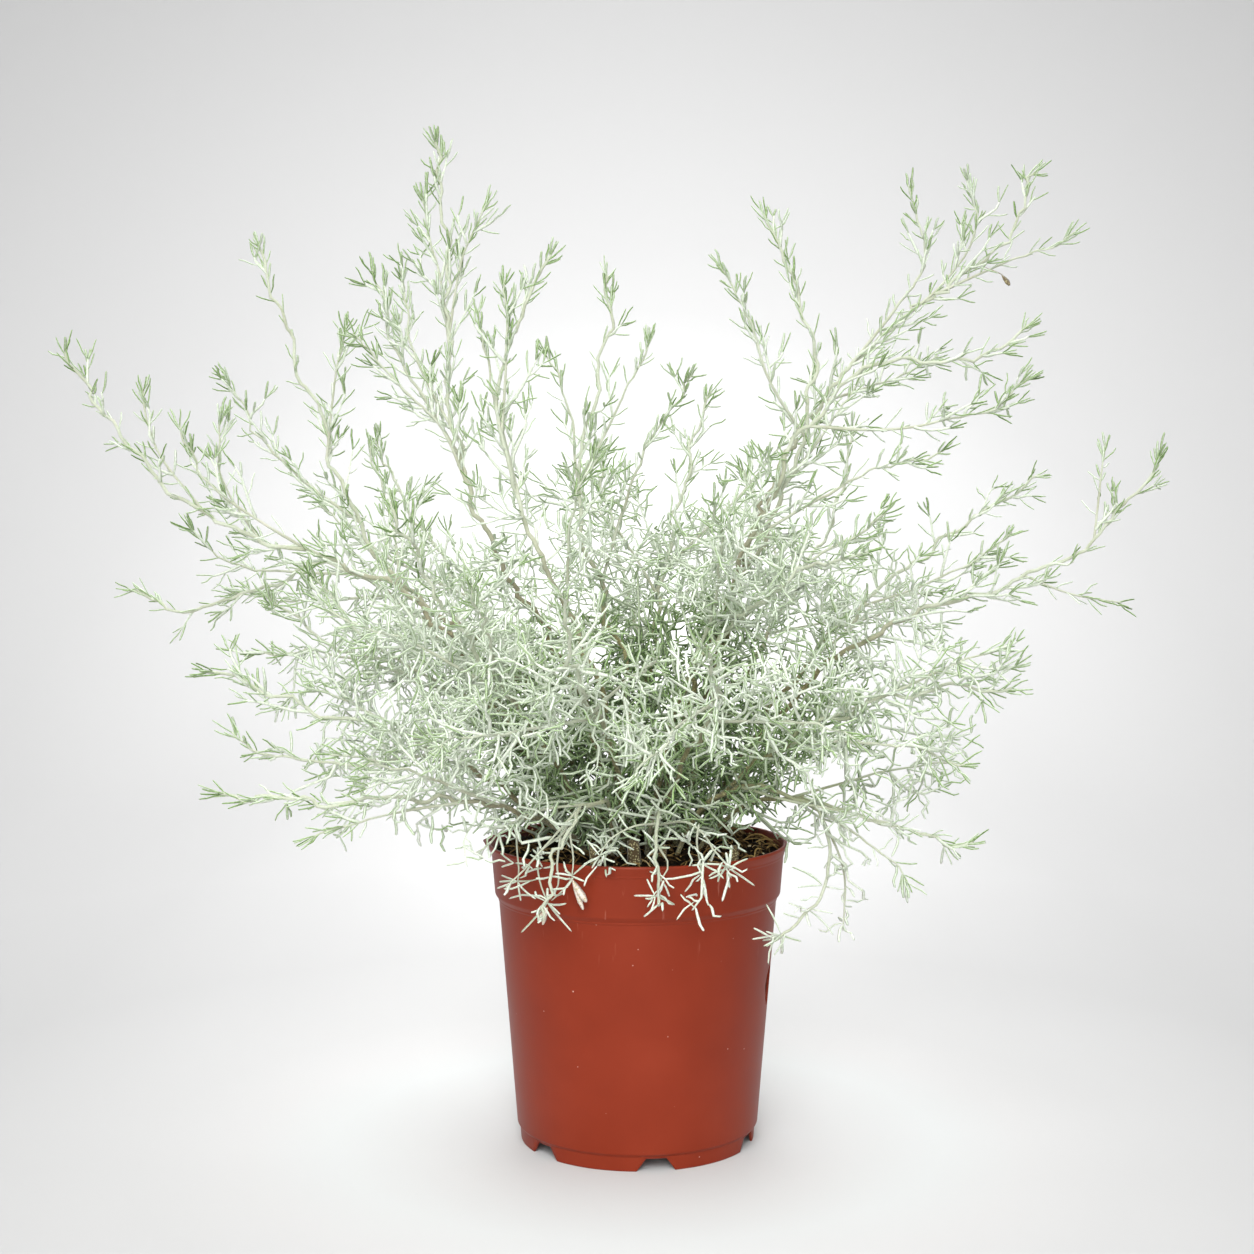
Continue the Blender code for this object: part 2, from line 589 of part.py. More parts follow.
def twigs_on(space, owner, rng, shoot, first):
    """Twigs with their needles along one shoot, from a first share of its length."""
    total = lengths_along(shoot.points)[-1]
    places = np.arange(first * total + 0.3 * TWIG_SPACING, total - 12 * MM, TWIG_SPACING)
    grown = []
    around = rng.uniform(0, math.tau)
    for distance in places:
        start, axis = point_at(shoot.points, distance)
        length = rng.uniform(*TWIG_LENGTHS) * (1 - 0.4 * distance / total)
        around += GOLDEN_ANGLE
        side = grow(space, owner, twig, start, axis, TWIG_ANGLE, around, length)
        if side is None:
            continue
        grown.append(side)
        reach = np.array(TWIG_NEEDLE_PLACES) * lengths_along(side.points)[-1]
        grown += needles_on(space, owner, rng, side.points, reach, 1)
    return grown


def tube_mesh(shoot):
    """A closed tube along a shoot, with a flat root and a flat tip."""
    points, radii, sides = shoot
    bm = bmesh.new()
    rings = []
    side = turned_away(unit(points[1] - points[0]), math.pi / 2, 0)
    for k, (point, radius) in enumerate(zip(points, radii)):
        ahead = unit(points[min(k + 1, len(points) - 1)] - points[max(k - 1, 0)])
        side = unit(side - ahead * np.dot(side, ahead))
        across = np.cross(ahead, side)
        angles = np.arange(sides) * math.tau / sides
        rings.append([bm.verts.new(point + radius * (math.cos(a) * side + math.sin(a) * across))
                      for a in angles])
    for low, high in zip(rings, rings[1:]):
        for k in range(sides):
            after = (k + 1) % sides
            bm.faces.new((low[k], low[after], high[after], high[k]))
    bm.faces.new(rings[0][::-1])
    bm.faces.new(rings[-1])
    mesh = bpy.data.meshes.new("shoot")
    bm.to_mesh(mesh)
    bm.free()
    return mesh


def unit(vector):
    """The vector at length one."""
    return vector / np.linalg.norm(vector)


def fuse(name, shoots, material):
    """Join the overlapping shoots of one stem into a single closed solid."""
    stem = add_object(name, tube_mesh(shoots[0]), material)
    side_shoots = bpy.data.collections.new(name + "_side_shoots")
    bpy.context.scene.collection.children.link(side_shoots)
    for shoot in shoots[1:]:
        side_shoots.objects.link(bpy.data.objects.new("side_shoot", tube_mesh(shoot)))
    union = stem.modifiers.new("Grow together", "BOOLEAN")
    union.operation = "UNION"
    union.operand_type = "COLLECTION"
    union.collection = side_shoots
    union.solver = "EXACT"
    depsgraph = bpy.context.evaluated_depsgraph_get()
    fused = bpy.data.meshes.new_from_object(stem.evaluated_get(depsgraph))
    stem.modifiers.clear()
    stem.data = fused
    for obj in list(side_shoots.objects):
        bpy.data.objects.remove(obj)
    bpy.data.collections.remove(side_shoots)


def make_leafy_stems():
    """Grow the twigs and needles of every stem, then fuse each stem."""
    material = principled("felted silver foliage", (0.58, 0.68, 0.55), 0.9)
    space = Space()
    stems = routed_shoots()
    for owner, shoots in enumerate(stems):
        for shoot in shoots:
            space.take(shoot, owner)
    rngs = [np.random.default_rng(SEED + owner) for owner in range(len(stems))]
    grown = [list(shoots) for shoots in stems]
    for owner, shoots in enumerate(stems):
        for k, shoot in enumerate(shoots):
            first = LEAFY_FROM if k == 0 else 0.1
            grown[owner] += twigs_on(space, owner, rngs[owner], shoot, first)
            grown[owner] += needles_on(space, owner, rngs[owner], shoot.points, [], TIP_NEEDLES)
    for owner, shoots in enumerate(grown):
        fuse(f"leafy_stem_{owner + 1:02d}", shoots, material)


def main():
    for obj in list(bpy.data.objects):
        bpy.data.objects.remove(obj)
    make_pot()
    make_soil()
    make_leafy_stems()


main()
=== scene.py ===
# %% [markdown]
# # A potted silky eremophila
#
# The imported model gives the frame: a pot, its compost and 27 leafy stems with
# too few leaves. This lesson dresses that frame. Each piece is a surface that
# numpy works out as whole arrays, and each finish is a material made of nodes.

# %% The frame
import math
from collections import namedtuple

import bpy
import numpy as np
from mathutils import Euler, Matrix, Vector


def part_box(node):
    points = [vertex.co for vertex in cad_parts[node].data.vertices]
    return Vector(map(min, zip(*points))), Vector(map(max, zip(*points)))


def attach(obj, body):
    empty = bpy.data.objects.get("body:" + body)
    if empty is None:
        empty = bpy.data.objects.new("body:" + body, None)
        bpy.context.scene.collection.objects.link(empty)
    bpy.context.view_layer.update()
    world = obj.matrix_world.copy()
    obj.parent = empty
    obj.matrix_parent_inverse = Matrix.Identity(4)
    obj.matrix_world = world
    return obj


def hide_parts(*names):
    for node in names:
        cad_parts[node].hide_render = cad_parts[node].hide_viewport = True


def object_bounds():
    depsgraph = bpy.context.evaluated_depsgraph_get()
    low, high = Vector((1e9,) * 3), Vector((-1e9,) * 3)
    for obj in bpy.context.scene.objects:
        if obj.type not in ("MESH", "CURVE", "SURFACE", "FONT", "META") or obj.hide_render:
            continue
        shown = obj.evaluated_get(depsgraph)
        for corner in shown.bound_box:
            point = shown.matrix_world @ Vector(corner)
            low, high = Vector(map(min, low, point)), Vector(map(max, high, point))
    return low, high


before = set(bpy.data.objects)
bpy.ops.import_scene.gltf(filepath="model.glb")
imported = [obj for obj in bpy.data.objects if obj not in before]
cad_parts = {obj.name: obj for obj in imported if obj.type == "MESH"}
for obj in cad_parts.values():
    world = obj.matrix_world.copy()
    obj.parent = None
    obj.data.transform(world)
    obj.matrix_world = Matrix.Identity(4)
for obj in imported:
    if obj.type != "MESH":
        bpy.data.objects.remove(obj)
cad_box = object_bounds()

MM = 0.001
GOLDEN_ANGLE = math.radians(137.5)
SEED = 7
print("CAD box", [[round(c, 3) for c in corner] for corner in cad_box])

# %% [markdown]
# ## Colours and nodes
#
# A colour is read off a real thing as an sRGB hex value, but a shader counts in
# linear light. One function turns the first into the second, and one function
# adds a node with its settings and its links, so a material reads like a list.


# %% Colours and nodes
def linear(hex_code):
    """Turn an sRGB hex colour to linear red, green, blue and alpha.

    Dark values are divided by 12.92, the rest follow a power of 2.4.
    """
    srgb = np.array([int(hex_code[k:k + 2], 16) for k in (1, 3, 5)]) / 255
    lit = np.where(srgb <= 0.04045, srgb / 12.92, ((srgb + 0.055) / 1.055) ** 2.4)
    return (*lit, 1.0)


def add_node(tree, kind, inputs=None, stops=(), **settings):
    """Add one node: settings are its own properties, stops the places and colours of a ramp.

    An input is a number, a hex colour, a link, or a node whose first output is linked.
    """
    node = tree.nodes.new("ShaderNode" + kind)
    for name, value in settings.items():
        setattr(node, name, value)
    for name, value in (inputs or {}).items():
        value = value.outputs[0] if isinstance(value, bpy.types.Node) else value
        if isinstance(value, bpy.types.NodeSocket):
            tree.links.new(value, node.inputs[name])
        else:
            node.inputs[name].default_value = linear(value) if isinstance(value, str) else value
    if stops:
        elements = node.color_ramp.elements
        elements[0].position, elements[1].position = stops[0][0], stops[-1][0]
        elements[0].color, elements[1].color = linear(stops[0][1]), linear(stops[-1][1])
        for place, hex_code in stops[1:-1]:
            elements.new(place).color = linear(hex_code)
    return node


# a Mix node has inputs and outputs for several kinds of value: these numbers are for colours
FACTOR, LOW, HIGH = 0, 6, 7
MIXED = 2


def new_material(name):
    """An empty node material, its tree and its Object coordinates."""
    material = bpy.data.materials.new(name)
    material.use_nodes = True
    material.node_tree.nodes.clear()
    return material, material.node_tree, add_node(material.node_tree, "TexCoord").outputs["Object"]


print("white is", linear("#FFFFFF"), "and mid grey", [round(v, 3) for v in linear("#808080")])

# %% [markdown]
# ## Camera and stage
#
# The camera stands where the ellipses of the rim and the foot say that it
# stood: 1.3 m away, a little above the middle of the plant, looking slightly
# down. The stage is a pale floor that sweeps up into a round wall, so that
# every side of the plant is seen against the same soft light.

# %% The camera
CAMERA_DISTANCE = 1.30
CAMERA_HEIGHT = 0.415
CAMERA_TILT = math.radians(3.61)
CAMERA_ASIDE = -6.8 * MM
PHOTO_SIZE = 1254
FOCAL_PIXELS = 2017
SENSOR = 36

camera = bpy.data.objects.new("camera", bpy.data.cameras.new("camera"))
bpy.context.scene.collection.objects.link(camera)
camera.location = (CAMERA_ASIDE, -CAMERA_DISTANCE, CAMERA_HEIGHT)
camera.rotation_euler = Euler((math.pi / 2 - CAMERA_TILT, 0, 0))
camera.data.sensor_width = SENSOR
camera.data.lens = SENSOR * FOCAL_PIXELS / PHOTO_SIZE
bpy.context.scene.camera = camera
bpy.context.scene.view_settings.view_transform = "Standard"
print("lens", round(camera.data.lens, 1), "mm")

# %% [markdown]
# A mesh of many thousand faces is quickest when its arrays go in whole. This
# helper takes points and faces as arrays, and an optional colour attribute
# that the materials read.


# %% From arrays to an object
def mesh_object(name, points, faces, growth=None):
    """Make an object from an array of points and arrays of triangles and quads."""
    mesh = bpy.data.meshes.new(name)
    corners = np.concatenate([part.ravel() for part in faces]).astype(np.int32)
    counts = np.concatenate([np.full(len(part), part.shape[1]) for part in faces])
    starts = np.concatenate([[0], np.cumsum(counts)[:-1]]).astype(np.int32)
    mesh.vertices.add(len(points))
    mesh.vertices.foreach_set("co", np.asarray(points, np.float32).ravel())
    mesh.loops.add(len(corners))
    mesh.loops.foreach_set("vertex_index", corners)
    mesh.polygons.add(len(counts))
    mesh.polygons.foreach_set("loop_start", starts)
    mesh.update(calc_edges=True)
    if growth is not None:
        layer = mesh.attributes.new("growth", "FLOAT_COLOR", "POINT")
        layer.data.foreach_set("color", np.asarray(growth, np.float32).ravel())
    mesh.shade_smooth()
    obj = bpy.data.objects.new(name, mesh)
    bpy.context.scene.collection.objects.link(obj)
    return obj


def triangle_count(obj):
    """Triangles in a mesh, counting a quad as two."""
    mesh = obj.data
    return len(mesh.loops) - 2 * len(mesh.polygons)


def grid_faces(rows, columns):
    """Quads between neighbouring points of a grid whose last column meets the first."""
    row = np.arange(rows - 1)[:, None]
    column = np.arange(columns)[None, :]
    after = (column + 1) % columns
    quads = np.stack([row * columns + column, row * columns + after,
                      (row + 1) * columns + after, (row + 1) * columns + column], axis=2)
    return quads.reshape(-1, 4)


def circle(count):
    """Even angles round a full turn."""
    return np.linspace(0, math.tau, count, endpoint=False)


# %% [markdown]
# The photograph's paper is not one even grey: it is palest in a long oval behind
# the plant and falls off to the corners. Lamps alone would need a fitting for
# each patch, so the broad fall-off of the light is painted into the paper's
# tone, as two colour ramps over the distance, and the lamps only have to be soft.

# %% The stage
FLOOR_RINGS = [0.01, 0.4, 1.0]
FLOOR_REACH = 1.5
WALL_REACH = 4.4
WALL_HEIGHT = 4.5
SWEEP_STEPS = 40
STAGE_COLUMNS = 96
# the painted pool of light, a pale oval: its middle is behind the plant, and it is long from front to back
OVAL_SHIFT = (0.0, -0.15, -0.629)
OVAL_STRETCH = (1.427, 0.295, 2.198)
OVAL_REACH = 4.0
PAINTED_POOL_TONES = ((0.165, "#DBDBDB"), (0.178, "#D2D2D2"), (0.19, "#CCCCCC"), (0.208, "#C6C6C6"),
              (0.233, "#BFBFBF"), (0.27, "#BBBBBB"), (0.32, "#B9B9B9"), (0.39, "#B4B4B4"),
              (0.48, "#B3B3B3"), (0.87, "#B6B6B6"))
# painted light close round the pot: where the plant shades the paper it is painted a little paler again,
# with a painted contact shadow just at the pot's foot and a cool tint that paints out the red light the pot
# throws on it
RING_REACH = 1.4
PAINTED_RING_TONES = ((0.065, "#F0F2F2"), (0.1, "#F8FAFA"), (0.14, "#FCFFFF"), (0.18, "#FAFAFA"),
              (0.23, "#F5F5F5"), (0.39, "#F0F0F0"), (0.7, "#FAFAFA"))


def studio_paper():
    """Matt paper with painted light: the painted pool's tone times the painted ring's tone."""
    material, tree, place = new_material("matt studio paper with painted light")
    oval = add_node(tree, "Mapping", {"Vector": place, "Location": OVAL_SHIFT, "Scale": OVAL_STRETCH})
    tones = []
    for spot, reach, stops in ((oval, OVAL_REACH, PAINTED_POOL_TONES), (place, RING_REACH, PAINTED_RING_TONES)):
        length = add_node(tree, "VectorMath", {0: spot}, operation="LENGTH").outputs["Value"]
        share = add_node(tree, "MapRange", {"Value": length, "From Max": reach})
        tones.append(add_node(tree, "ValToRGB", {"Fac": share}, stops))
    tone = add_node(tree, "Mix", {FACTOR: 1.0, LOW: tones[0], HIGH: tones[1]}, data_type="RGBA",
                    blend_type="MULTIPLY").outputs[MIXED]
    shader = add_node(tree, "BsdfPrincipled", {"Base Color": tone, "Roughness": 0.95,
                                               "Specular IOR Level": 0.1})
    add_node(tree, "OutputMaterial", {"Surface": shader})
    return material


def make_stage():
    """A floor disc, a quarter-circle sweep and a wall, turned round the Z axis."""
    bend = np.linspace(0, math.pi / 2, SWEEP_STEPS)
    sweep = WALL_REACH - FLOOR_REACH
    radius = np.concatenate([FLOOR_RINGS, FLOOR_REACH + sweep * np.sin(bend), [WALL_REACH]])
    height = np.concatenate([0 * np.array(FLOOR_RINGS), sweep * (1 - np.cos(bend)), [WALL_HEIGHT]])
    turn = circle(STAGE_COLUMNS)
    points = np.stack([radius[:, None] * np.cos(turn), radius[:, None] * np.sin(turn),
                       np.broadcast_to(height[:, None], (len(height), len(turn)))], axis=2)
    cap = np.arange(STAGE_COLUMNS)[None, :]
    faces = [grid_faces(len(radius), STAGE_COLUMNS), cap]
    stage = mesh_object("studio_sweep", points.reshape(-1, 3), faces)
    stage.data.materials.append(studio_paper())
    print("stage", triangle_count(stage), "triangles")


make_stage()

# %% [markdown]
# The photograph's shadows are faint and wide, so the light is a bright sky and a
# few large soft boxes. The big one in front gives the leaves their pale edges,
# the small one low in front lights what hangs over the rim, and the rest only
# light the paper. They are out of the camera's sight.

# %% The light
SKY_STRENGTH = 1.15
# each soft box: its name, place, target, size in metres, watts and spread in degrees
SOFT_BOXES = (
    ("front softbox", (-0.3, -3.2, 1.3), (0, 0, 0.35), 2.2, 113, 180),
    ("key softbox", (-0.5, -1.5, 1.9), (0, 0, 0.3), 0.9, 14, 180),
    ("low front softbox", (0, -1.3, 0.9), (0, -0.12, 0), 0.3, 0.26, 40),
    ("backdrop softbox", (0, 2.3, 2.1), (0, 4.4, 0.6), 1.0, 27, 180),
    ("sweep softbox", (0, 2.2, 1.7), (0, 2.6, 0.1), 1.2, 13.6, 180),
    ("far floor softbox", (0, 1.5, 1.7), (0, 1.7, 0), 1.2, 8.6, 180),
    ("floor softbox", (0, 0.8, 1.6), (0, 0.8, 0), 0.9, 9.2, 180),
)


def area_light(name, place, target, size, watts, spread):
    """A square soft box at a place, facing a target; a grid on it narrows the spread."""
    light = bpy.data.lights.new(name, "AREA")
    light.size = size
    light.energy = watts
    light.spread = math.radians(spread)
    obj = bpy.data.objects.new(name, light)
    obj.location = place
    facing = np.array(target, float) - np.array(place, float)
    pitch = math.atan2(math.hypot(facing[0], facing[1]), -facing[2])
    obj.rotation_euler = Euler((pitch, 0, math.atan2(-facing[0], facing[1])))
    obj.visible_camera = False
    bpy.context.scene.collection.objects.link(obj)


world = bpy.data.worlds.new("soft sky")
world.use_nodes = True
world.node_tree.nodes["Background"].inputs["Color"].default_value = linear("#FFFFFF")
world.node_tree.nodes["Background"].inputs["Strength"].default_value = SKY_STRENGTH
bpy.context.scene.world = world
for soft_box in SOFT_BOXES:
    area_light(*soft_box)
print(len(SOFT_BOXES), "soft boxes")

# %% [markdown]
# ## The pot
#
# The real pot is injection-moulded polypropylene: one thin tapered shell with a
# stepped collar, a small lip, and a skirt that the mould cuts into feet. A
# lathe could turn it, but the feet are not round. So the shell is one grid: the
# profile runs down the rows, and a function of the angle lifts the skirt's
# lower edge between the feet.

# %% Sizes of the pot
pot_low, pot_high = (np.array(corner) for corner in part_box("pot"))
POT_HEIGHT = pot_high[2]
RIM_RADIUS = (pot_high[0] - pot_low[0]) / 2
COLLAR_TOP_RADIUS = RIM_RADIUS - 2.6 * MM
COLLAR_FOOT_RADIUS = RIM_RADIUS - 4.6 * MM
COLLAR_FOOT = POT_HEIGHT - 35.5 * MM
COLLAR_STEP_HEIGHT = 3 * MM
LIP_FOOT = POT_HEIGHT - 6.5 * MM
LIP_EDGE = 1.2 * MM
LIP_THICKNESS = 2.6 * MM
BEAD = 0.45 * MM
BODY_TOP_RADIUS = RIM_RADIUS - 7.1 * MM
BODY_FOOT_RADIUS = RIM_RADIUS - 18.6 * MM
SKIRT_RADIUS = RIM_RADIUS - 20.4 * MM
SKIRT_HEIGHT = 10 * MM
SKIRT_WALL = 2.4 * MM
WALL = 1.6 * MM
FLOOR_TOP = SKIRT_HEIGHT + 2.2 * MM
FEET = 6
FOOT_GAP_FIRST_ANGLE = math.radians(-81.4)
FOOT_GAP_WIDTH_BELOW = 25 * MM
FOOT_GAP_WIDTH_ABOVE = 13 * MM
FOOT_GAP_HEIGHT = 8 * MM
POT_COLUMNS = 288
# the lip is bent outwards at the left, and the soft wall is a little out of round
BENT_LIP_ANGLE = math.radians(176)
BENT_LIP_SPAN = math.radians(17)
BENT_LIP_REACH = 3.4 * MM
OUT_OF_ROUND = 0.4 * MM
FLOOR_PART = 60 * MM
print("pot", round(POT_HEIGHT / MM), "mm high,", round(2 * RIM_RADIUS / MM), "mm across")


# %% [markdown]
# The wall's outline is drawn with sharp corners, but a mould rounds each of them
# a little, and the light on the rim shows it. A parabola is the shortest formula
# for a rounding that meets both sides without a kink.


# %% Rounding an outline
def rounded(outline, reach, steps=4):
    """Replace each corner of an outline by a short parabola.

    The parabola starts and ends at the reach, or at 0.4 of the shorter side,
    and its control point is the corner.
    """
    outline = np.asarray(outline, float)
    out = [outline[:1]]
    t = np.linspace(0, 1, steps)[:, None]
    for before, corner, after in zip(outline, outline[1:], outline[2:]):
        back, ahead = before - corner, after - corner
        cut = min(reach, 0.4 * np.linalg.norm(back), 0.4 * np.linalg.norm(ahead))
        start = corner + back / np.linalg.norm(back) * cut
        end = corner + ahead / np.linalg.norm(ahead) * cut
        out.append((1 - t) ** 2 * start + 2 * t * (1 - t) * corner + t ** 2 * end)
    return np.vstack(out + [outline[-1:]])


print("one corner becomes", len(rounded([(0, 0), (1, 0), (1, 1)], 0.2)) - 2, "points")

# %% [markdown]
# Round the pot, three things change with the angle: the gaps between the feet
# lift the skirt's edge, the bent lip leans out at the left, and the soft wall is
# a little oval. Each is a function of the angle that the shell adds up.


# %% Feet, lip and shell
def gap_lift(turn):
    """How far the skirt's lower edge is lifted at an angle.

    Across each gap the lift is a trapezoid: it rises over the slanted sides and
    stays at the gap's height in the middle.
    """
    spacing = math.tau / FEET
    offset = (turn - FOOT_GAP_FIRST_ANGLE + spacing / 2) % spacing - spacing / 2
    across = np.abs(offset) * SKIRT_RADIUS
    slant = (FOOT_GAP_WIDTH_BELOW - FOOT_GAP_WIDTH_ABOVE) / 2
    return FOOT_GAP_HEIGHT * np.clip((FOOT_GAP_WIDTH_BELOW / 2 - across) / slant, 0, 1)


def pot_columns():
    """Angles round the pot, with one at each corner of every foot gap.

    An even grid alone would cut the corners of the gaps off.
    """
    even = circle(POT_COLUMNS)
    corners = []
    for width in (FOOT_GAP_WIDTH_BELOW, FOOT_GAP_WIDTH_ABOVE):
        half = width / 2 / SKIRT_RADIUS
        for k in range(FEET):
            middle = FOOT_GAP_FIRST_ANGLE + k * math.tau / FEET
            corners += [middle - half, middle + half]
    angles = np.sort(np.concatenate([even, np.array(corners) % math.tau]))
    keep = np.concatenate([[True], np.diff(angles) > 1e-4])
    return angles[keep]


def bent_lip(turn, height):
    """How far the lip leans out: most in the middle of the bend and at the top.

    A bell curve of the angle, crumpled by two sines, times the share of the lip.
    """
    offset = (turn - BENT_LIP_ANGLE + math.pi) % math.tau - math.pi
    bell = np.exp(-(offset / BENT_LIP_SPAN) ** 2 * 2)
    crumple = 1 + 0.22 * np.sin(offset * 21) + 0.12 * np.sin(offset * 47)
    return BENT_LIP_REACH * bell * crumple * np.clip((height - LIP_FOOT) / (POT_HEIGHT - LIP_FOOT), 0, 1)


def turned_shell(name, profile, turn, lift):
    """Carry a (radius, height) profile round the Z axis and close both poles.

    Below the skirt's height a point is raised by the lift at its angle, less
    the higher it lies. The first and last profile points become the poles.
    """
    radius, height = profile[1:-1, 0][:, None], profile[1:-1, 1][:, None]
    soft = OUT_OF_ROUND * (np.sin(2 * turn + 0.7) + 0.5 * np.sin(3 * turn + 2)) * height / POT_HEIGHT
    radius = radius + (soft + bent_lip(turn, height)) * (radius > FLOOR_PART)
    raised = height + lift[None, :] * np.clip(1 - height / SKIRT_HEIGHT, 0, 1)
    ring = np.stack([radius * np.cos(turn), radius * np.sin(turn), raised], axis=2)
    rows, columns = ring.shape[:2]
    points = np.vstack([[(0, 0, profile[0, 1])], ring.reshape(-1, 3), [(0, 0, profile[-1, 1])]])
    column = np.arange(columns)
    after = (column + 1) % columns
    last = 1 + (rows - 1) * columns
    start_fan = np.stack([1 + column, 1 + after, 0 * column], axis=1)
    end_fan = np.stack([last + after, last + column, 0 * column + len(points) - 1], axis=1)
    return mesh_object(name, points, [start_fan, grid_faces(rows, columns) + 1, end_fan])


print("angles round the pot:", len(pot_columns()))

# %% [markdown]
# Moulded polypropylene is coloured right through and slightly waxy: a broad
# soft gloss with a faint grain from the mould. A season in a nursery adds lime
# bloom, dust in specks, thin pale scratches round the rim and compost dust
# inside it. Each mark is a pattern of its real size, mixed over the colour.

# %% The plastic
BLOOM_SIZE = 45.45 * MM
BLOOM_TONES = ((0.3, "#7C2912"), (0.55, "#812C15"), (0.75, "#863019"))
SPECK_SPACING = 11.765 * MM
SPECK_EDGE = 0.53 * MM
SPECK_CORE = 0.353 * MM
SPECK_PATCH = 33.33 * MM
# scratches run nearly upright, ten times as long as wide, from this height up
SCRATCH_WIDTH = 3.846 * MM
SCRATCH_LENGTH = 38.46 * MM
SCRATCH_FOOT = 120 * MM
# the mould's grain, drawn 1.1 mm coarse because 0.1 mm would not show
GRAIN_SIZE = 1.111 * MM


def moulded_plastic():
    """Terracotta polypropylene with bloom, specks, rim scratches and compost dust."""
    material, tree, place = new_material("moulded terracotta polypropylene")
    bloom = add_node(tree, "TexNoise", {"Vector": place, "Scale": 1 / BLOOM_SIZE, "Detail": 4.0})
    base = add_node(tree, "ValToRGB", {"Fac": bloom}, BLOOM_TONES)
    height = add_node(tree, "SeparateXYZ", {"Vector": place}).outputs["Z"]
    dots = add_node(tree, "TexVoronoi", {"Vector": place, "Scale": 1 / SPECK_SPACING})
    speck = add_node(tree, "MapRange", {"Value": dots, "From Min": SPECK_EDGE / SPECK_SPACING,
                                        "From Max": SPECK_CORE / SPECK_SPACING})
    patch = add_node(tree, "TexNoise", {"Vector": place, "Scale": 1 / SPECK_PATCH, "Detail": 2.0})
    some = add_node(tree, "MapRange", {"Value": patch, "From Min": 0.5, "From Max": 0.6})
    stretch = add_node(tree, "Mapping", {"Vector": place, "Scale": (
        1 / SCRATCH_WIDTH, 1 / SCRATCH_WIDTH, 1 / SCRATCH_LENGTH)})
    streak = add_node(tree, "TexNoise", {"Vector": stretch, "Scale": 1.0, "Detail": 3.0})
    thin = add_node(tree, "MapRange", {"Value": streak, "From Min": 0.68, "From Max": 0.76,
                                       "To Max": 0.55})
    near_rim = add_node(tree, "MapRange", {"Value": height, "From Min": SCRATCH_FOOT,
                                           "From Max": POT_HEIGHT})
    # compost dust clings inside the rim: the radius is shorter there than outside
    flat = add_node(tree, "VectorMath", {0: place, 1: (1.0, 1.0, 0.0)}, operation="MULTIPLY")
    radius = add_node(tree, "VectorMath", {0: flat}, operation="LENGTH").outputs["Value"]
    inside = add_node(tree, "MapRange", {"Value": radius, "From Min": RIM_RADIUS - LIP_THICKNESS,
                                         "From Max": COLLAR_TOP_RADIUS - WALL, "To Max": 0.7})
    above = add_node(tree, "MapRange", {"Value": height, "From Min": LIP_FOOT - 4 * BEAD,
                                        "From Max": LIP_FOOT - 2 * BEAD})
    color = base
    for mark, where, tone in ((speck, some, "#D9B9AC"), (thin, near_rim, "#C98A78"),
                              (inside, above, "#24170E")):
        cover = add_node(tree, "Math", {0: mark, 1: where}, operation="MULTIPLY")
        color = add_node(tree, "Mix", {FACTOR: cover, LOW: color, HIGH: tone},
                         data_type="RGBA").outputs[MIXED]
    grain = add_node(tree, "TexNoise", {"Vector": place, "Scale": 1 / GRAIN_SIZE, "Detail": 2.0})
    bump = add_node(tree, "Bump", {"Height": grain, "Strength": 0.12, "Distance": 0.3 * MM})
    rough = add_node(tree, "MapRange", {"Value": bloom, "To Min": 0.36, "To Max": 0.52})
    shader = add_node(tree, "BsdfPrincipled", {"Base Color": color, "Roughness": rough, "IOR": 1.49,
                                               "Specular IOR Level": 0.2, "Normal": bump})
    add_node(tree, "OutputMaterial", {"Surface": shader})
    print(material.name, "with", len(tree.nodes), "nodes")
    return material


pot_plastic = moulded_plastic()

# %% [markdown]
# The drain holes and the tear are cut out of the finished shell. A Boolean with
# a prism is the plainest way to cut a hole of any outline, and its result is
# applied at once, so that no cutter stays in the scene.

# %% Cutting holes
DRAIN_HOLES = 6
DRAIN_RADIUS = 5 * MM
DRAIN_CIRCLE = 56 * MM
DRAIN_SIDES = 20
DRAIN_ROOM = 3 * MM
TEAR_ANGLE = math.radians(-11.5)
TEAR_MIDDLE_HEIGHT = 103 * MM
TEAR_LENGTH = 27 * MM
TEAR_WIDTH = 17 * MM
TEAR_SIDES = 26
TEAR_ROOM = 8 * MM


def cut_out(target, name, outline, near, far):
    """Cut a prism out of the target for good: a closed outline carried between two offsets."""
    count = len(outline)
    ring = np.arange(count)
    after = (ring + 1) % count
    sides = np.stack([ring, after, after + count, ring + count], axis=1)
    caps = np.stack([ring[::-1], ring + count])
    cutter = mesh_object(name, np.vstack([outline + near, outline + far]), [sides, caps])
    cut = target.modifiers.new(name, "BOOLEAN")
    cut.operation = "DIFFERENCE"
    cut.object = cutter
    depsgraph = bpy.context.evaluated_depsgraph_get()
    mesh = bpy.data.meshes.new_from_object(target.evaluated_get(depsgraph))
    target.modifiers.clear()
    target.data = mesh
    bpy.data.objects.remove(cutter)


def cut_drains(pot):
    """Round holes in the raised floor, on a circle between the feet."""
    around = circle(DRAIN_SIDES)
    for k in range(DRAIN_HOLES):
        angle = (k + 0.5) * math.tau / DRAIN_HOLES
        ring = np.stack([DRAIN_CIRCLE * math.cos(angle) + DRAIN_RADIUS * np.cos(around),
                         DRAIN_CIRCLE * math.sin(angle) + DRAIN_RADIUS * np.sin(around),
                         0 * around], axis=1)
        cut_out(pot, "drain", ring, (0, 0, SKIRT_HEIGHT - DRAIN_ROOM), (0, 0, FLOOR_TOP + DRAIN_ROOM))


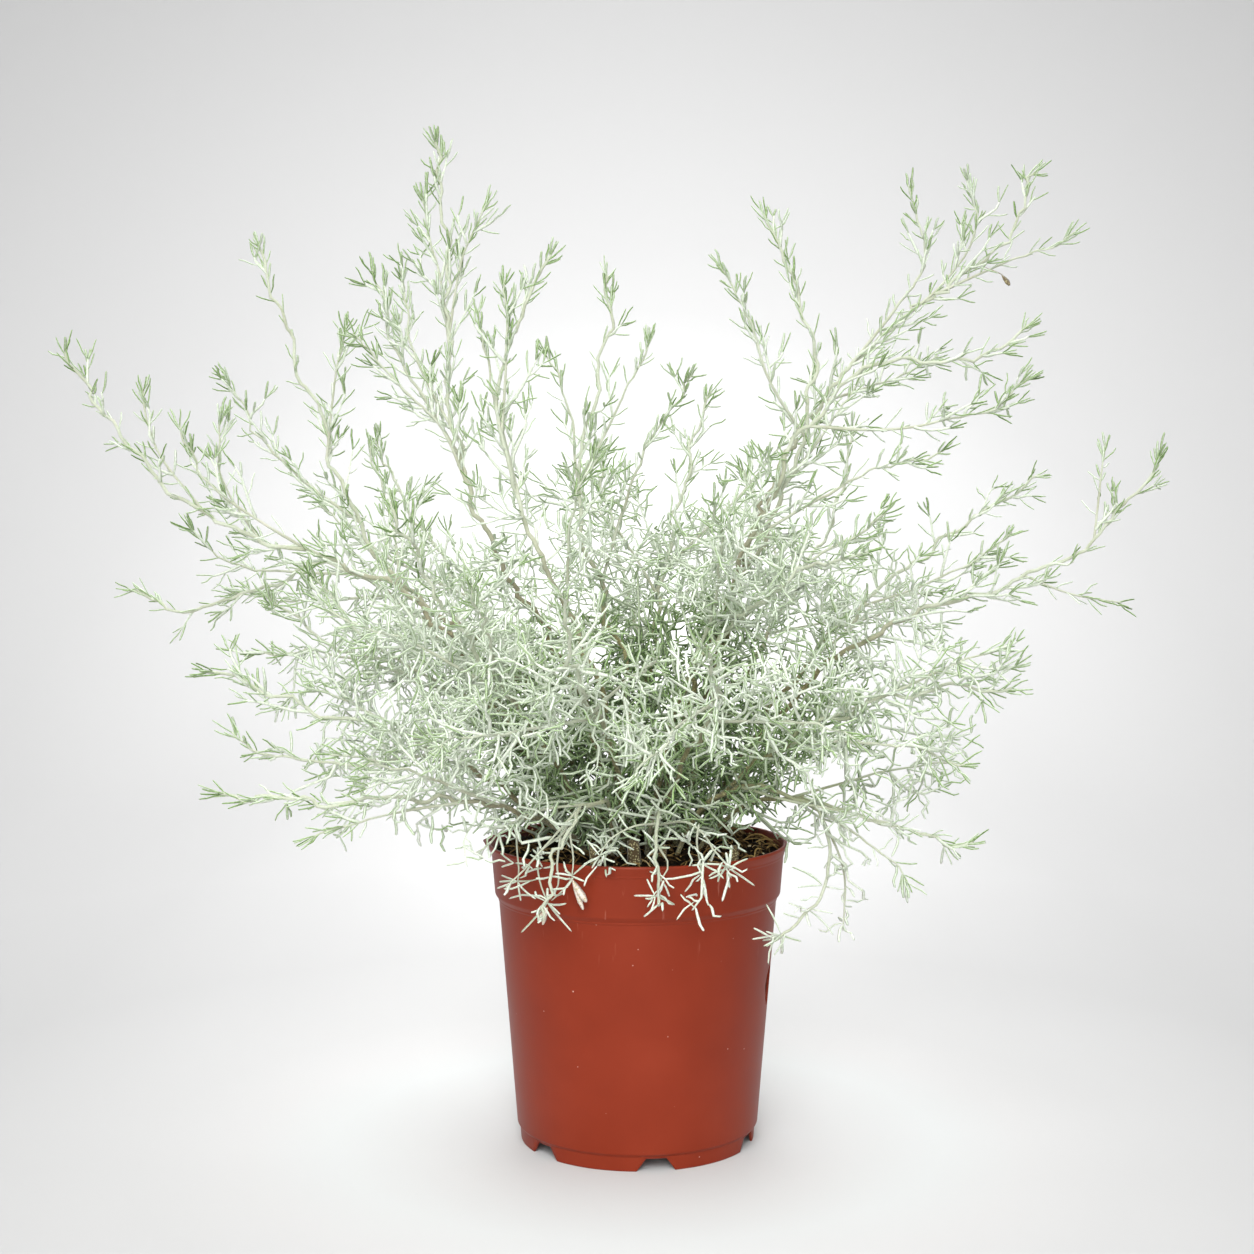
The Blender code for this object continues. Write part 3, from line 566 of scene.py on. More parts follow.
def cut_tear(pot):
    """The tear at the right: a pointed oval, sine times root of sine, with a ragged edge."""
    rise = circle(TEAR_SIDES)
    ragged = 1 + 0.12 * np.sin(3 * rise + 1) + 0.06 * np.sin(11 * rise)
    sideways = TEAR_WIDTH / 2 * np.sin(rise) * np.abs(np.sin(rise)) ** 0.4 * ragged
    upward = TEAR_MIDDLE_HEIGHT + TEAR_LENGTH / 2 * -np.cos(rise)
    side = np.array([-math.sin(TEAR_ANGLE), math.cos(TEAR_ANGLE), 0])
    out = np.array([math.cos(TEAR_ANGLE), math.sin(TEAR_ANGLE), 0])
    ring = sideways[:, None] * side + upward[:, None] * np.array([0, 0, 1])
    wall = (BODY_TOP_RADIUS + BODY_FOOT_RADIUS) / 2
    cut_out(pot, "tear", ring, out * (wall - TEAR_ROOM), out * (wall + TEAR_ROOM))


print(DRAIN_HOLES, "drain holes", round(2 * DRAIN_RADIUS / MM), "mm across")

# %% [markdown]
# Now the shell itself. Its outline runs from the middle of the floor's underside,
# down and round the skirt, up the outside with its beads and collar, over the lip
# and down the inside to the middle of the floor.

# %% The shell
CORNER_ROUND = 0.8 * MM
SKIRT_DRAFT = 0.6 * MM
SKIRT_STEP = 1.2 * MM
UNDERSIDE_RING = 20 * MM
SHARP_FROM = math.radians(50)


def pot_outline():
    """Corners of the wall as radius and height, from the underside to the floor."""
    inside_skirt = SKIRT_RADIUS - SKIRT_WALL
    return [
        (0, SKIRT_HEIGHT), (UNDERSIDE_RING, SKIRT_HEIGHT), (inside_skirt, SKIRT_HEIGHT),
        (inside_skirt, 0), (SKIRT_RADIUS - SKIRT_DRAFT, 0),
        (SKIRT_RADIUS, SKIRT_HEIGHT - SKIRT_DRAFT), (BODY_FOOT_RADIUS, SKIRT_HEIGHT + SKIRT_STEP),
        (BODY_TOP_RADIUS - 0.1 * MM, COLLAR_FOOT - 4 * BEAD),
        (BODY_TOP_RADIUS + BEAD, COLLAR_FOOT - 2 * BEAD), (BODY_TOP_RADIUS + BEAD, COLLAR_FOOT),
        (COLLAR_FOOT_RADIUS, COLLAR_FOOT + COLLAR_STEP_HEIGHT),
        (COLLAR_TOP_RADIUS, LIP_FOOT - 3 * BEAD),
        (COLLAR_TOP_RADIUS + BEAD, LIP_FOOT - BEAD), (COLLAR_TOP_RADIUS + BEAD, LIP_FOOT + BEAD),
        (RIM_RADIUS, POT_HEIGHT - LIP_EDGE), (RIM_RADIUS - LIP_EDGE / 2, POT_HEIGHT),
        (RIM_RADIUS - LIP_THICKNESS, POT_HEIGHT), (COLLAR_TOP_RADIUS - WALL, LIP_FOOT),
        (COLLAR_FOOT_RADIUS - WALL, COLLAR_FOOT + COLLAR_STEP_HEIGHT + WALL / 2),
        (BODY_TOP_RADIUS - WALL, COLLAR_FOOT + WALL / 2),
        (BODY_FOOT_RADIUS - WALL, FLOOR_TOP), (0, FLOOR_TOP),
    ]


def make_pot():
    """The pot's shell, cut for its drain holes and its tear."""
    turn = pot_columns()
    pot = turned_shell("moulded_pot", rounded(pot_outline(), CORNER_ROUND), turn, gap_lift(turn))
    cut_drains(pot)
    cut_tear(pot)
    pot.data.set_sharp_from_angle(angle=SHARP_FROM)
    pot.data.materials.clear()
    pot.data.materials.append(pot_plastic)
    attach(pot, "root")
    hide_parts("pot")
    print("pot shell", triangle_count(pot), "triangles")


make_pot()

# %% [markdown]
# ## Strings of rings
#
# A leaf, a twig, a root fibre and a chip of bark are all one shape: a few rings
# strung on a curve and closed by a point at each end. So one function makes any
# number of them at once, and everything that follows only chooses the curves.


# %% Closed strings of rings
def unit(vectors):
    """Vectors at length one, along the last axis."""
    return vectors / np.maximum(np.linalg.norm(vectors, axis=-1, keepdims=True), 1e-9)


def ring_strings(centers, widths, depths, across, sides=4):
    """Points and faces of closed strings of rings.

    centers holds, for each string, a pole, the ring centres and a pole. A ring
    is an ellipse: its half width lies along the across vector made square to
    the curve, and its half depth square to both.
    """
    count, rings = centers.shape[0], centers.shape[1] - 2
    ahead = unit(centers[:, 2:] - centers[:, :-2])
    wide = unit(across - ahead * (across * ahead).sum(axis=2, keepdims=True))
    deep = np.cross(ahead, wide)
    angle = np.arange(sides) * math.tau / sides
    around = (wide[:, :, None] * (widths[:, :, None] * np.cos(angle))[..., None]
              + deep[:, :, None] * (depths[:, :, None] * np.sin(angle))[..., None])
    rim = (centers[:, 1:-1, None] + around).reshape(count, rings * sides, 3)
    points = np.concatenate([centers[:, :1], rim, centers[:, -1:]], axis=1)
    k = np.arange(sides)
    after = (k + 1) % sides
    last = 1 + (rings - 1) * sides
    root = np.stack([0 * k, 1 + after, 1 + k], axis=1)
    tip = np.stack([0 * k + rings * sides + 1, last + k, last + after], axis=1)
    body = grid_faces(rings, sides) + 1
    shift = (np.arange(count) * points.shape[1])[:, None, None]
    faces = [(part[None] + shift).reshape(-1, part.shape[1]) for part in (root, body, tip)]
    return points.reshape(-1, 3), faces


print("a string of four rings has", 2 * 4 + 3 * 4 * 2, "triangles")

# %% [markdown]
# Two more helpers serve compost and foliage alike. One joins sets of strings to
# a single mesh. The other makes roughness: a sum of sine waves in all directions
# looks like crumbs on a surface and like knots along a branch.


# %% Joining, and roughness
def joined(parts):
    """Put several (points, faces, growth) sets into one set of arrays."""
    points, faces, growth, shift = [], [], [], 0
    for some_points, some_faces, some_growth in parts:
        faces += [face + shift for face in some_faces]
        points.append(some_points)
        growth.append(some_growth)
        shift += len(some_points)
    return np.vstack(points), faces, np.vstack(growth)


def wave_field(points, rng, longest, waves, roughness):
    """A rough field: many plane sine waves, each shorter one weaker.

    Wavelengths halve evenly from the longest, and the height goes with the
    wavelength to the power of the roughness.
    """
    octave = rng.uniform(0, 4, waves)
    length = longest / 2 ** octave
    heading = unit(rng.normal(size=(waves, points.shape[1])))
    phase = rng.uniform(0, math.tau, waves)
    weight = (length / longest) ** roughness
    travel = points @ (heading / length[:, None]).T * math.tau + phase
    return (np.sin(travel) * weight).sum(axis=1) / weight.sum() * 3


# %% [markdown]
# ## The compost
#
# Potting compost is shredded bark and peat: a dark, crumbly surface with chips,
# tan root fibres and pale grit on it. The crumb is a grid whose height is a sum
# of sine waves, and the loose bits are strings of rings lying on it.

# %% Sizes of the compost
soil_low, soil_high = (np.array(corner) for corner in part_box("soil"))
SOIL_CROWN = soil_high[2]
SOIL_EDGE = SOIL_CROWN - 3 * MM
SOIL_RADIUS = (soil_high[0] - soil_low[0]) / 2
SOIL_FLOOR = soil_low[2]
SOIL_FLOOR_RADIUS = SOIL_RADIUS - 15.6 * MM
CRUMB_HEIGHT = 4.2 * MM
CRUMB_LENGTH = 26 * MM
CRUMB_WAVES = 70
SOIL_WAVES = np.random.default_rng(SEED).integers(1 << 30)
print("compost", round(2 * SOIL_RADIUS / MM), "mm across, its crown at", round(SOIL_CROWN / MM), "mm")


def soil_surface(x, y):
    """Height of the compost: a low dome, and the crumb on it, level at the wall."""
    radius = np.hypot(x, y)
    dome = SOIL_EDGE + (SOIL_CROWN - SOIL_EDGE) * (1 - (radius / SOIL_RADIUS) ** 2)
    flat = np.stack([np.ravel(x), np.ravel(y)], axis=1)
    crumb = wave_field(flat, np.random.default_rng(SOIL_WAVES), CRUMB_LENGTH, CRUMB_WAVES, 0.7)
    return dome + CRUMB_HEIGHT * np.clip(crumb.reshape(np.shape(x)), -0.8, 0.8)


# %% [markdown]
# Moist compost is matt and nearly black, and only a few faces of bark catch the
# light. Its shreds are Voronoi cells of their real size, each with its own tone.
# The loose bits share one material: a value on each bit says what it is.

# %% Compost and bits
SHRED_SIZE = 3.03 * MM
SHRED_TONES = ((0.0, "#0B0805"), (0.6, "#18110A"), (0.88, "#2E2114"), (1.0, "#5E492C"))
PEAT_SIZE = 1.429 * MM
# from bark through fibre to grit and dead leaves
BIT_TONES = ((0.0, "#0E0A06"), (0.3, "#2C1F12"), (0.55, "#735935"), (0.8, "#B89A62"), (1.0, "#DDD2B0"))
BIT_GRAIN = 1.111 * MM


def matt_surface(material, tree, color, roughness, gloss, grain, strength, depth):
    """Give a material a matt shader with its grain as a bump."""
    bump = add_node(tree, "Bump", {"Height": grain, "Strength": strength, "Distance": depth})
    shader = add_node(tree, "BsdfPrincipled", {"Base Color": color, "Roughness": roughness,
                                               "Specular IOR Level": gloss, "Normal": bump})
    add_node(tree, "OutputMaterial", {"Surface": shader})
    print(material.name, "with", len(tree.nodes), "nodes")
    return material


def compost_material():
    """Moist bark compost: near black, brown where a chip's face catches light."""
    material, tree, place = new_material("moist bark compost")
    shred = add_node(tree, "TexVoronoi", {"Vector": place, "Scale": 1 / SHRED_SIZE})
    tone = add_node(tree, "SeparateColor", {"Color": shred.outputs["Color"]})
    color = add_node(tree, "ValToRGB", {"Fac": tone}, SHRED_TONES)
    peat = add_node(tree, "TexNoise", {"Vector": place, "Scale": 1 / PEAT_SIZE, "Detail": 6.0})
    return matt_surface(material, tree, color, 0.9, 0.1, peat, 0.9, 1.5 * MM)


def bits_material():
    """Loose bits: the growth attribute picks bark, fibre, grit or a dead leaf."""
    material, tree, place = new_material("bark chips and root fibre")
    growth = add_node(tree, "Attribute", attribute_name="growth")
    kind = add_node(tree, "SeparateColor", {"Color": growth})
    tone = add_node(tree, "ValToRGB", {"Fac": kind}, BIT_TONES)
    grain = add_node(tree, "TexNoise", {"Vector": place, "Scale": 1 / BIT_GRAIN, "Detail": 4.0})
    shade = add_node(tree, "ValToRGB", {"Fac": grain}, ((0.3, "#8A8A8A"), (0.7, "#FFFFFF")))
    color = add_node(tree, "Mix", {FACTOR: 0.5, LOW: tone, HIGH: shade}, data_type="RGBA",
                     blend_type="MULTIPLY").outputs[MIXED]
    return matt_surface(material, tree, color, 0.85, 0.15, grain, 0.6, 0.5 * MM)


# %% [markdown]
# The compost is one closed plug. The same angles run round its base, its wall and
# its top, so the three share one grid, and only the top asks for the crumb.

# %% The compost's surface
SOIL_ROWS = 110
SOIL_COLUMNS = 240


def make_compost():
    """A closed plug: base, wall and a crumbly top, as one polar grid."""
    turn = circle(SOIL_COLUMNS)
    wall = np.array([(2 * MM, SOIL_FLOOR), (SOIL_FLOOR_RADIUS, SOIL_FLOOR),
                     (SOIL_RADIUS - 4.4 * MM, COLLAR_FOOT), (SOIL_RADIUS - 1.6 * MM, SOIL_EDGE - 12 * MM)])
    reach = np.linspace(SOIL_RADIUS - 0.6 * MM, 1.5 * MM, SOIL_ROWS)
    radius = np.concatenate([wall[:, 0], reach])
    x, y = radius[:, None] * np.cos(turn), radius[:, None] * np.sin(turn)
    z = np.vstack([np.broadcast_to(wall[:, 1:], (len(wall), len(turn))),
                   soil_surface(x[len(wall):], y[len(wall):])])
    rings = np.stack([x, y, z], axis=2).reshape(-1, 3)
    column = np.arange(SOIL_COLUMNS)
    faces = [grid_faces(len(radius), SOIL_COLUMNS), column[::-1][None],
             column[None] + (len(radius) - 1) * SOIL_COLUMNS]
    compost = mesh_object("bark_compost", rings, faces)
    compost.data.materials.append(compost_material())
    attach(compost, "root")
    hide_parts("soil")
    print("compost", triangle_count(compost), "triangles")


make_compost()

# %% [markdown]
# The photograph shows chips, fibres and grit lying loose, heaped at the back
# right. Each is a short string of rings that lies nearly level on the crumb, and
# all of them are one piece, because nobody picks a chip out of a pot.

# %% Scattering loose bits
CHIPS = 1000
FIBERS = 520
GRIT = 220
LOOSE_REACH = SOIL_RADIUS - 4 * MM
HEAP_SHARE = 0.4
HEAP_ANGLE = math.radians(38)
HEAP_SPREAD = 0.45
HEAP_START = 0.62
HEAP_HEIGHT = 4 * MM


def scattered(rng, count):
    """Places on the compost: even per area, and a heap of them at the back right."""
    radius = LOOSE_REACH * np.sqrt(rng.uniform(0, 1, count))
    turn = rng.uniform(0, math.tau, count)
    heap = rng.uniform(0, 1, count) < HEAP_SHARE
    radius = np.where(heap, LOOSE_REACH * rng.uniform(HEAP_START, 1.0, count), radius)
    turn = np.where(heap, HEAP_ANGLE + rng.normal(0, HEAP_SPREAD, count), turn)
    x, y = radius * np.cos(turn), radius * np.sin(turn)
    rise = HEAP_HEIGHT * heap * rng.uniform(0, 1, count) ** 2
    return np.stack([x, y, soil_surface(x, y) + rise], axis=1)


def lying_curves(rng, places, lengths, rings, tilt, curl):
    """Curves through the places: level headings with a little tilt and curl.

    With t from -1/2 to 1/2 along a bit, it bows by its curl times 1/4 - t^2.
    """
    heading = unit(rng.normal(size=(len(places), 3)) * (1, 1, tilt))
    bow = unit(np.cross(heading, (0, 0, 1)))
    t = np.linspace(-0.5, 0.5, rings + 2)[None, :, None]
    sweep = rng.uniform(-curl, curl, (len(places), 1, 1)) * (0.25 - t ** 2)
    arch = rng.uniform(0, curl, (len(places), 1, 1)) * (0.25 - t ** 2) * np.array([0, 0, 1.2])
    offset = heading[:, None] * t + bow[:, None] * sweep + arch
    return places[:, None] + offset * lengths[:, None, None]


def bit_set(rng, centers, width, depth, kinds, sides=4):
    """Strings of rings with one kind value for each string."""
    count, rings = centers.shape[0], centers.shape[1] - 2
    widths = np.broadcast_to(width[:, None], (count, rings)) * rng.uniform(0.7, 1.15, (count, rings))
    depths = np.broadcast_to(depth[:, None], (count, rings)) * rng.uniform(0.7, 1.15, (count, rings))
    across = unit(np.cross(centers[:, -1] - centers[:, 0], (0, 0, 1)) + rng.normal(0, 0.4, (count, 3)))
    points, faces = ring_strings(centers, widths, depths, across[:, None], sides)
    growth = np.ones((len(points), 4))
    growth[:, 0] = np.repeat(kinds, len(points) // count)
    return points, faces, growth


print(CHIPS + FIBERS + GRIT, "loose bits to lay")

# %% [markdown]
# Sizes come from a handful of such compost: chips of 2.5 to 9 mm, fibres of 8 to
# 24 mm by about a millimetre, and grit of 1 to 3 mm.

# %% The loose bits
# ranges in millimetres
CHIP_LENGTHS = (2.5, 9)
FIBER_LENGTHS = (8, 24)
FIBER_HALF_WIDTHS = (0.2, 0.6)
GRIT_LENGTHS = (1.2, 2.8)
DEEPEST_BIT = SOIL_EDGE - 10 * MM


def make_loose_bits():
    """Bark chips, tan root fibres and pale grit, as one piece."""
    rng = np.random.default_rng(SEED + 1)
    chips = scattered(rng, CHIPS)
    length = rng.uniform(*CHIP_LENGTHS, CHIPS) * MM
    chip = bit_set(rng, lying_curves(rng, chips, length, 2, 0.5, 0.3), length * 0.22, length * 0.1,
                   rng.uniform(0.05, 0.62, CHIPS) ** 1.7)
    fibers = scattered(rng, FIBERS) + (0, 0, 0.6 * MM)
    length = rng.uniform(*FIBER_LENGTHS, FIBERS) * MM
    slim = rng.uniform(*FIBER_HALF_WIDTHS, FIBERS) * MM
    fiber = bit_set(rng, lying_curves(rng, fibers, length, 5, 0.25, 1.1), slim, slim,
                    rng.uniform(0.35, 0.88, FIBERS))
    grit = scattered(rng, GRIT)
    length = rng.uniform(*GRIT_LENGTHS, GRIT) * MM
    speck = bit_set(rng, lying_curves(rng, grit, length, 3, 0.8, 0.2), length * 0.42, length * 0.36,
                    rng.uniform(0.7, 1.0, GRIT), 5)
    points, faces, growth = joined([chip, fiber, speck])
    points[:, 2] = np.maximum(points[:, 2], DEEPEST_BIT)
    bits = mesh_object("loose_compost_bits", points, faces, growth)
    bits.data.materials.append(bits_material())
    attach(bits, "root")
    print("loose bits", triangle_count(bits), "triangles")


make_loose_bits()

# %% [markdown]
# ## Where the stems go
#
# The stems stand where the imported model has them, so their routes are the same
# lists of points, and the same rule bends them clear of each other. A smooth
# curve through the points is what growth looks like: straight runs and arcs
# would look like bent wire.

# %% Routes of the stems
Ring = namedtuple("Ring", "radius places first_angle")
OUTER = Ring(46 * MM, 13, 0)
MIDDLE = Ring(28 * MM, 9, 10)
INNER = Ring(11 * MM, 5, 20)

# Each stem: its place in a ring of holes, the points in millimetres that its
# main shoot passes, and its side sprays, each the share of the main shoot's
# length at which it leaves and then its own points.
Stem = namedtuple("Stem", "ring place route sprays")
STEMS = (
    # the long low sprays at the right
    Stem(OUTER, 0, [(100, 15, 285), (150, 30, 322), (205, 40, 348), (256, 45, 359), (321, 50, 404),
                    (350, 59, 445)],
         [(0.72, (290, 40, 352), (321, 35, 347)), (0.84, (312, 62, 425), (318, 78, 452))]),
    Stem(OUTER, 1, [(90, 45, 275), (150, 75, 340), (227, 95, 398), (278, 100, 431)],
         [(0.6, (200, 60, 360), (252, 50, 392)), (0.45, (170, 130, 335), (225, 165, 352))]),
    # the back of the plant
    Stem(OUTER, 2, [(60, 75, 270), (110, 150, 345), (150, 205, 410), (163, 235, 468)],
         [(0.5, (150, 160, 330), (200, 215, 345)), (0.6, (95, 200, 400), (80, 245, 440))]),
    Stem(OUTER, 3, [(10, 80, 265), (-5, 160, 345), (-20, 220, 400), (-29, 252, 453)],
         [(0.5, (35, 180, 345), (60, 240, 375)), (0.55, (-50, 195, 330), (-85, 245, 350))]),
    Stem(OUTER, 4, [(-60, 75, 265), (-120, 150, 345), (-170, 200, 410), (-197, 230, 462)],
         [(0.5, (-110, 190, 330), (-130, 240, 360)), (0.6, (-190, 160, 380), (-240, 185, 420))]),
    # the left side: the two long sprays, then the low ones
    Stem(OUTER, 5, [(-110, 45, 300), (-189, 58, 366), (-230, 65, 365), (-277, 72, 346),
                    (-325, 78, 339), (-348, 80, 351)],
         [(0.55, (-240, 100, 345), (-285, 130, 350)), (0.62, (-270, 50, 372), (-300, 40, 398))]),
    Stem(OUTER, 6, [(-100, -15, 300), (-153, -25, 360), (-255, -40, 398), (-308, -50, 440),
                    (-352, -54, 505)],
         [(0.74, (-300, -35, 445), (-311, -30, 484)), (0.6, (-270, -55, 430), (-279, -60, 462)),
          (0.66, (-262, -20, 425), (-266, -15, 468))]),
    Stem(OUTER, 7, [(-110, -60, 255), (-170, -90, 282), (-209, -105, 295), (-252, -110, 315)],
         [(0.48, (-177, -110, 258), (-225, -120, 267), (-241, -118, 276)),
          (0.4, (-150, -50, 275), (-205, -55, 300))]),
    Stem(OUTER, 8, [(-75, -90, 228), (-125, -130, 240), (-164, -145, 243), (-213, -150, 239),
                    (-238, -152, 247)],
         [(0.5, (-160, -150, 232), (-189, -150, 222)), (0.42, (-130, -165, 262), (-165, -205, 275))]),
    # what hangs over the front of the rim
    Stem(OUTER, 9, [(-22, -80, 236), (-42, -106, 222), (-52, -116, 195), (-56, -119, 164)],
         [(0.6, (-66, -108, 205), (-78, -110, 184)), (0.5, (-70, -95, 225), (-98, -104, 205))]),
    Stem(OUTER, 10, [(12, -84, 228), (11, -108, 215), (10, -118, 178)],
         [(0.42, (36, -104, 220), (56, -112, 192))]),
    Stem(OUTER, 11, [(62, -48, 238), (108, -60, 226), (122, -64, 190), (103, -68, 162),
                     (86, -74, 146)],
         [(0.62, (130, -56, 180), (128, -52, 147)), (0.4, (125, -75, 225), (160, -95, 215))]),
    Stem(OUTER, 12, [(88, -38, 230), (144, -60, 216), (183, -68, 207), (206, -72, 203)],
         [(0.5, (150, -78, 200), (166, -84, 184)), (0.45, (150, -20, 240), (200, -5, 246))]),
    # the middle ring: the high sprays at the right, at the back and at the left
    Stem(MIDDLE, 0, [(58, -6, 330), (77, -12, 403), (110, -18, 462), (140, -20, 500),
                     (196, -20, 500), (247, -20, 521)],
         [(0.66, (157, -28, 459), (190, -30, 462), (247, -34, 487)),
          (0.5, (140, -45, 430), (185, -70, 445))]),
    Stem(MIDDLE, 1, [(48, 28, 300), (75, 38, 388), (95, 46, 437), (120, 55, 476), (154, 65, 516),
                     (193, 75, 547), (244, 80, 585), (262, 85, 605), (271, 88, 641)],
         [(0.66, (194, 78, 574), (188, 80, 600), (184, 82, 624)),
          (0.76, (226, 90, 581), (230, 96, 606), (229, 98, 627)),
          (0.8, (262, 70, 580), (292, 60, 590)), (0.6, (180, 110, 500), (212, 125, 515))]),
    Stem(MIDDLE, 2, [(8, 55, 290), (20, 110, 370), (35, 150, 430), (52, 180, 492)],
         [(0.55, (-20, 130, 400), (-50, 150, 430)), (0.6, (75, 140, 420), (105, 150, 455))]),
    Stem(MIDDLE, 3, [(-80, 25, 300), (-161, 42, 361), (-190, 52, 408), (-215, 58, 476),
                     (-236, 60, 531), (-253, 62, 586)],
         [(0.6, (-224, 66, 427), (-253, 70, 454), (-279, 75, 499)),
          (0.5, (-170, 80, 410), (-185, 100, 450)), (0.7, (-200, 45, 500), (-192, 40, 530))]),
    Stem(MIDDLE, 4, [(-72, 16, 262), (-150, 14, 302), (-205, 4, 325), (-240, 0, 352)],
         [(0.55, (-175, -30, 330), (-200, -45, 368)), (0.6, (-205, 25, 315), (-258, 35, 310))]),
    # the front of the plant
    Stem(MIDDLE, 5, [(-60, -60, 265), (-95, -115, 325), (-120, -160, 370), (-135, -190, 412)],
         [(0.5, (-130, -120, 330), (-180, -140, 350)), (0.55, (-85, -170, 340), (-90, -215, 365))]),
    Stem(MIDDLE, 6, [(-15, -70, 260), (-30, -140, 300), (-38, -205, 330), (-41, -248, 366)],
         [(0.5, (-75, -180, 285), (-105, -225, 285)), (0.55, (0, -190, 320), (10, -235, 330))]),
    Stem(MIDDLE, 7, [(28, -68, 255), (45, -130, 295), (40, -195, 318), (33, -250, 340)],
         [(0.5, (85, -165, 290), (120, -205, 285)), (0.6, (20, -200, 290), (0, -240, 268))]),
    Stem(MIDDLE, 8, [(75, -50, 252), (139, -78, 292), (181, -92, 302), (224, -100, 302)],
         [(0.6, (190, -105, 318), (219, -102, 330)), (0.5, (150, -110, 270), (188, -140, 262))]),
    # the inner ring: the upright stems in the middle
    Stem(INNER, 0, [(42, 8, 310), (87, 10, 402), (106, 10, 454), (114, 10, 493), (112, 10, 522),
                    (100, 10, 555), (83, 10, 596)],
         [(0.68, (85, -8, 489), (70, -14, 528), (54, -20, 560)), (0.6, (130, 20, 470), (150, 35, 500))]),
    Stem(INNER, 1, [(-8, 18, 300), (-38, 30, 401), (-35, 34, 454), (-24, 38, 499), (-20, 40, 522),
                    (-17, 42, 563)],
         [(0.66, (-5, 32, 491), (8, 30, 519)), (0.6, (-46, 46, 481), (-62, 52, 513)),
          (0.5, (12, 22, 462), (36, 18, 493))]),
    Stem(INNER, 2, [(-42, -2, 300), (-89, -6, 376), (-113, -8, 440), (-121, -10, 491),
                    (-120, -10, 548), (-123, -10, 603), (-128, -10, 640)],
         [(0.76, (-107, -16, 583), (-96, -20, 599)), (0.74, (-130, -4, 585), (-138, 0, 609)),
          (0.62, (-145, 2, 514), (-150, 8, 562)),
          (0.57, (-133, -18, 474), (-163, -22, 497), (-179, -24, 521)),
          (0.6, (-160, 12, 520), (-170, 15, 563))]),
    Stem(INNER, 3, [(-26, -24, 300), (-65, -48, 390), (-82, -56, 446), (-86, -58, 497),
                    (-72, -60, 526), (-52, -62, 564)],
         [(0.72, (-80, -64, 520), (-80, -66, 547)), (0.62, (-94, -50, 500), (-96, -46, 530)),
          (0.45, (-40, -70, 410), (-25, -85, 440))]),
    Stem(INNER, 4, [(30, -24, 300), (66, -70, 345), (100, -110, 375), (128, -148, 384)],
         [(0.5, (50, -75, 370), (45, -110, 415)), (0.55, (110, -65, 380), (150, -75, 405))]),
)
print(len(STEMS), "stems with", sum(len(stem.sprays) for stem in STEMS), "side sprays")

# %% [markdown]
# A Catmull-Rom curve passes through every point it is given, which a Bezier
# curve doesn't, so a route can be read straight off the plant.


# %% Curves through points
def lengths_along(points):
    """Distance of each point from the first, along the line."""
    steps = np.linalg.norm(np.diff(points, axis=0), axis=1)
    return np.concatenate([[0], np.cumsum(steps)])


def points_at(points, distances):
    """Points and unit headings of a line at distances from its start."""
    along = lengths_along(points)
    after = np.clip(np.searchsorted(along, distances, side="right"), 1, len(points) - 1)
    step = points[after] - points[after - 1]
    share = (distances - along[after - 1]) / (along[after] - along[after - 1])
    return points[after - 1] + step * share[:, None], unit(step)


def smooth_path(points, step):
    """Points at even steps along a Catmull-Rom curve through the given points."""
    points = np.asarray(points, float)
    ends = np.vstack([2 * points[0] - points[1], points, 2 * points[-1] - points[-2]])
    t = np.linspace(0, 1, 12, endpoint=False)[:, None]
    spans = []
    for a, b, c, d in zip(ends, ends[1:], ends[2:], ends[3:]):
        bend = (2 * a - 5 * b + 4 * c - d) * t ** 2 + (3 * b - a - 3 * c + d) * t ** 3
        spans.append(b + 0.5 * ((c - a) * t + bend))
    return even_line(np.vstack(spans + [points[-1:]]), step)


def even_line(points, step):
    """Points at even steps along straight pieces."""
    along = lengths_along(points)
    even = np.linspace(0, along[-1], max(2, round(along[-1] / step)) + 1)
    return np.column_stack([np.interp(even, along, points[:, k]) for k in range(3)])


def coarse(path, step):
    """Keep about one point for each step of a path, and its two ends."""
    count = max(2, round(lengths_along(path)[-1] / step) + 1)
    return path[np.round(np.linspace(0, len(path) - 1, count)).astype(int)]


sample = smooth_path([(0, 0, 0), (0, 0, 1), (0, 1, 2)], 0.1)
print("a curve through 3 points in", len(sample), "points,", round(lengths_along(sample)[-1], 2), "long")

# %% [markdown]
# Two shoots can't share one place. Where the curves of two stems come too close,
# both are pushed apart a little, round after round, until there is room.

# %% Keeping the stems apart
STRAIGHT_FOOT = 5 * MM
PATH_STEP = 8 * MM
BEND_ROOM = 9 * MM
BEND_ROUNDS = 40
BEND_PINNED = 14 * MM
BEND_SHARE = 0.4


def bend_clear(paths, owners, fixed=(), fixed_owners=()):
    """Push the paths of different stems apart until they are BEND_ROOM apart.

    The first stretch of each path stays where it is, and so do the fixed points.
    """
    points = np.vstack(paths)
    owner = np.repeat(owners, [len(path) for path in paths])
    ease = np.concatenate([np.clip(lengths_along(p) / BEND_PINNED - 1, 0, 1) for p in paths])
    still = np.vstack([np.empty((0, 3)), *fixed])
    still_owner = np.repeat(fixed_owners, [len(path) for path in fixed]) if fixed else []
    apart = owner[:, None] != np.concatenate([owner, still_owner])[None, :]
    for _ in range(BEND_ROUNDS):
        away = points[:, None, :] - np.vstack([points, still])[None, :, :]
        distance = np.linalg.norm(away, axis=2)
        lack = np.where(apart & (distance < BEND_ROOM), BEND_ROOM - distance, 0)
        push = (away * (lack / np.maximum(distance, 0.01 * MM))[:, :, None]).sum(axis=1)
        points = points + BEND_SHARE * push * ease[:, None]
    return np.split(points, np.cumsum([len(path) for path in paths])[:-1])


print("stems keep", round(BEND_ROOM / MM), "mm apart")

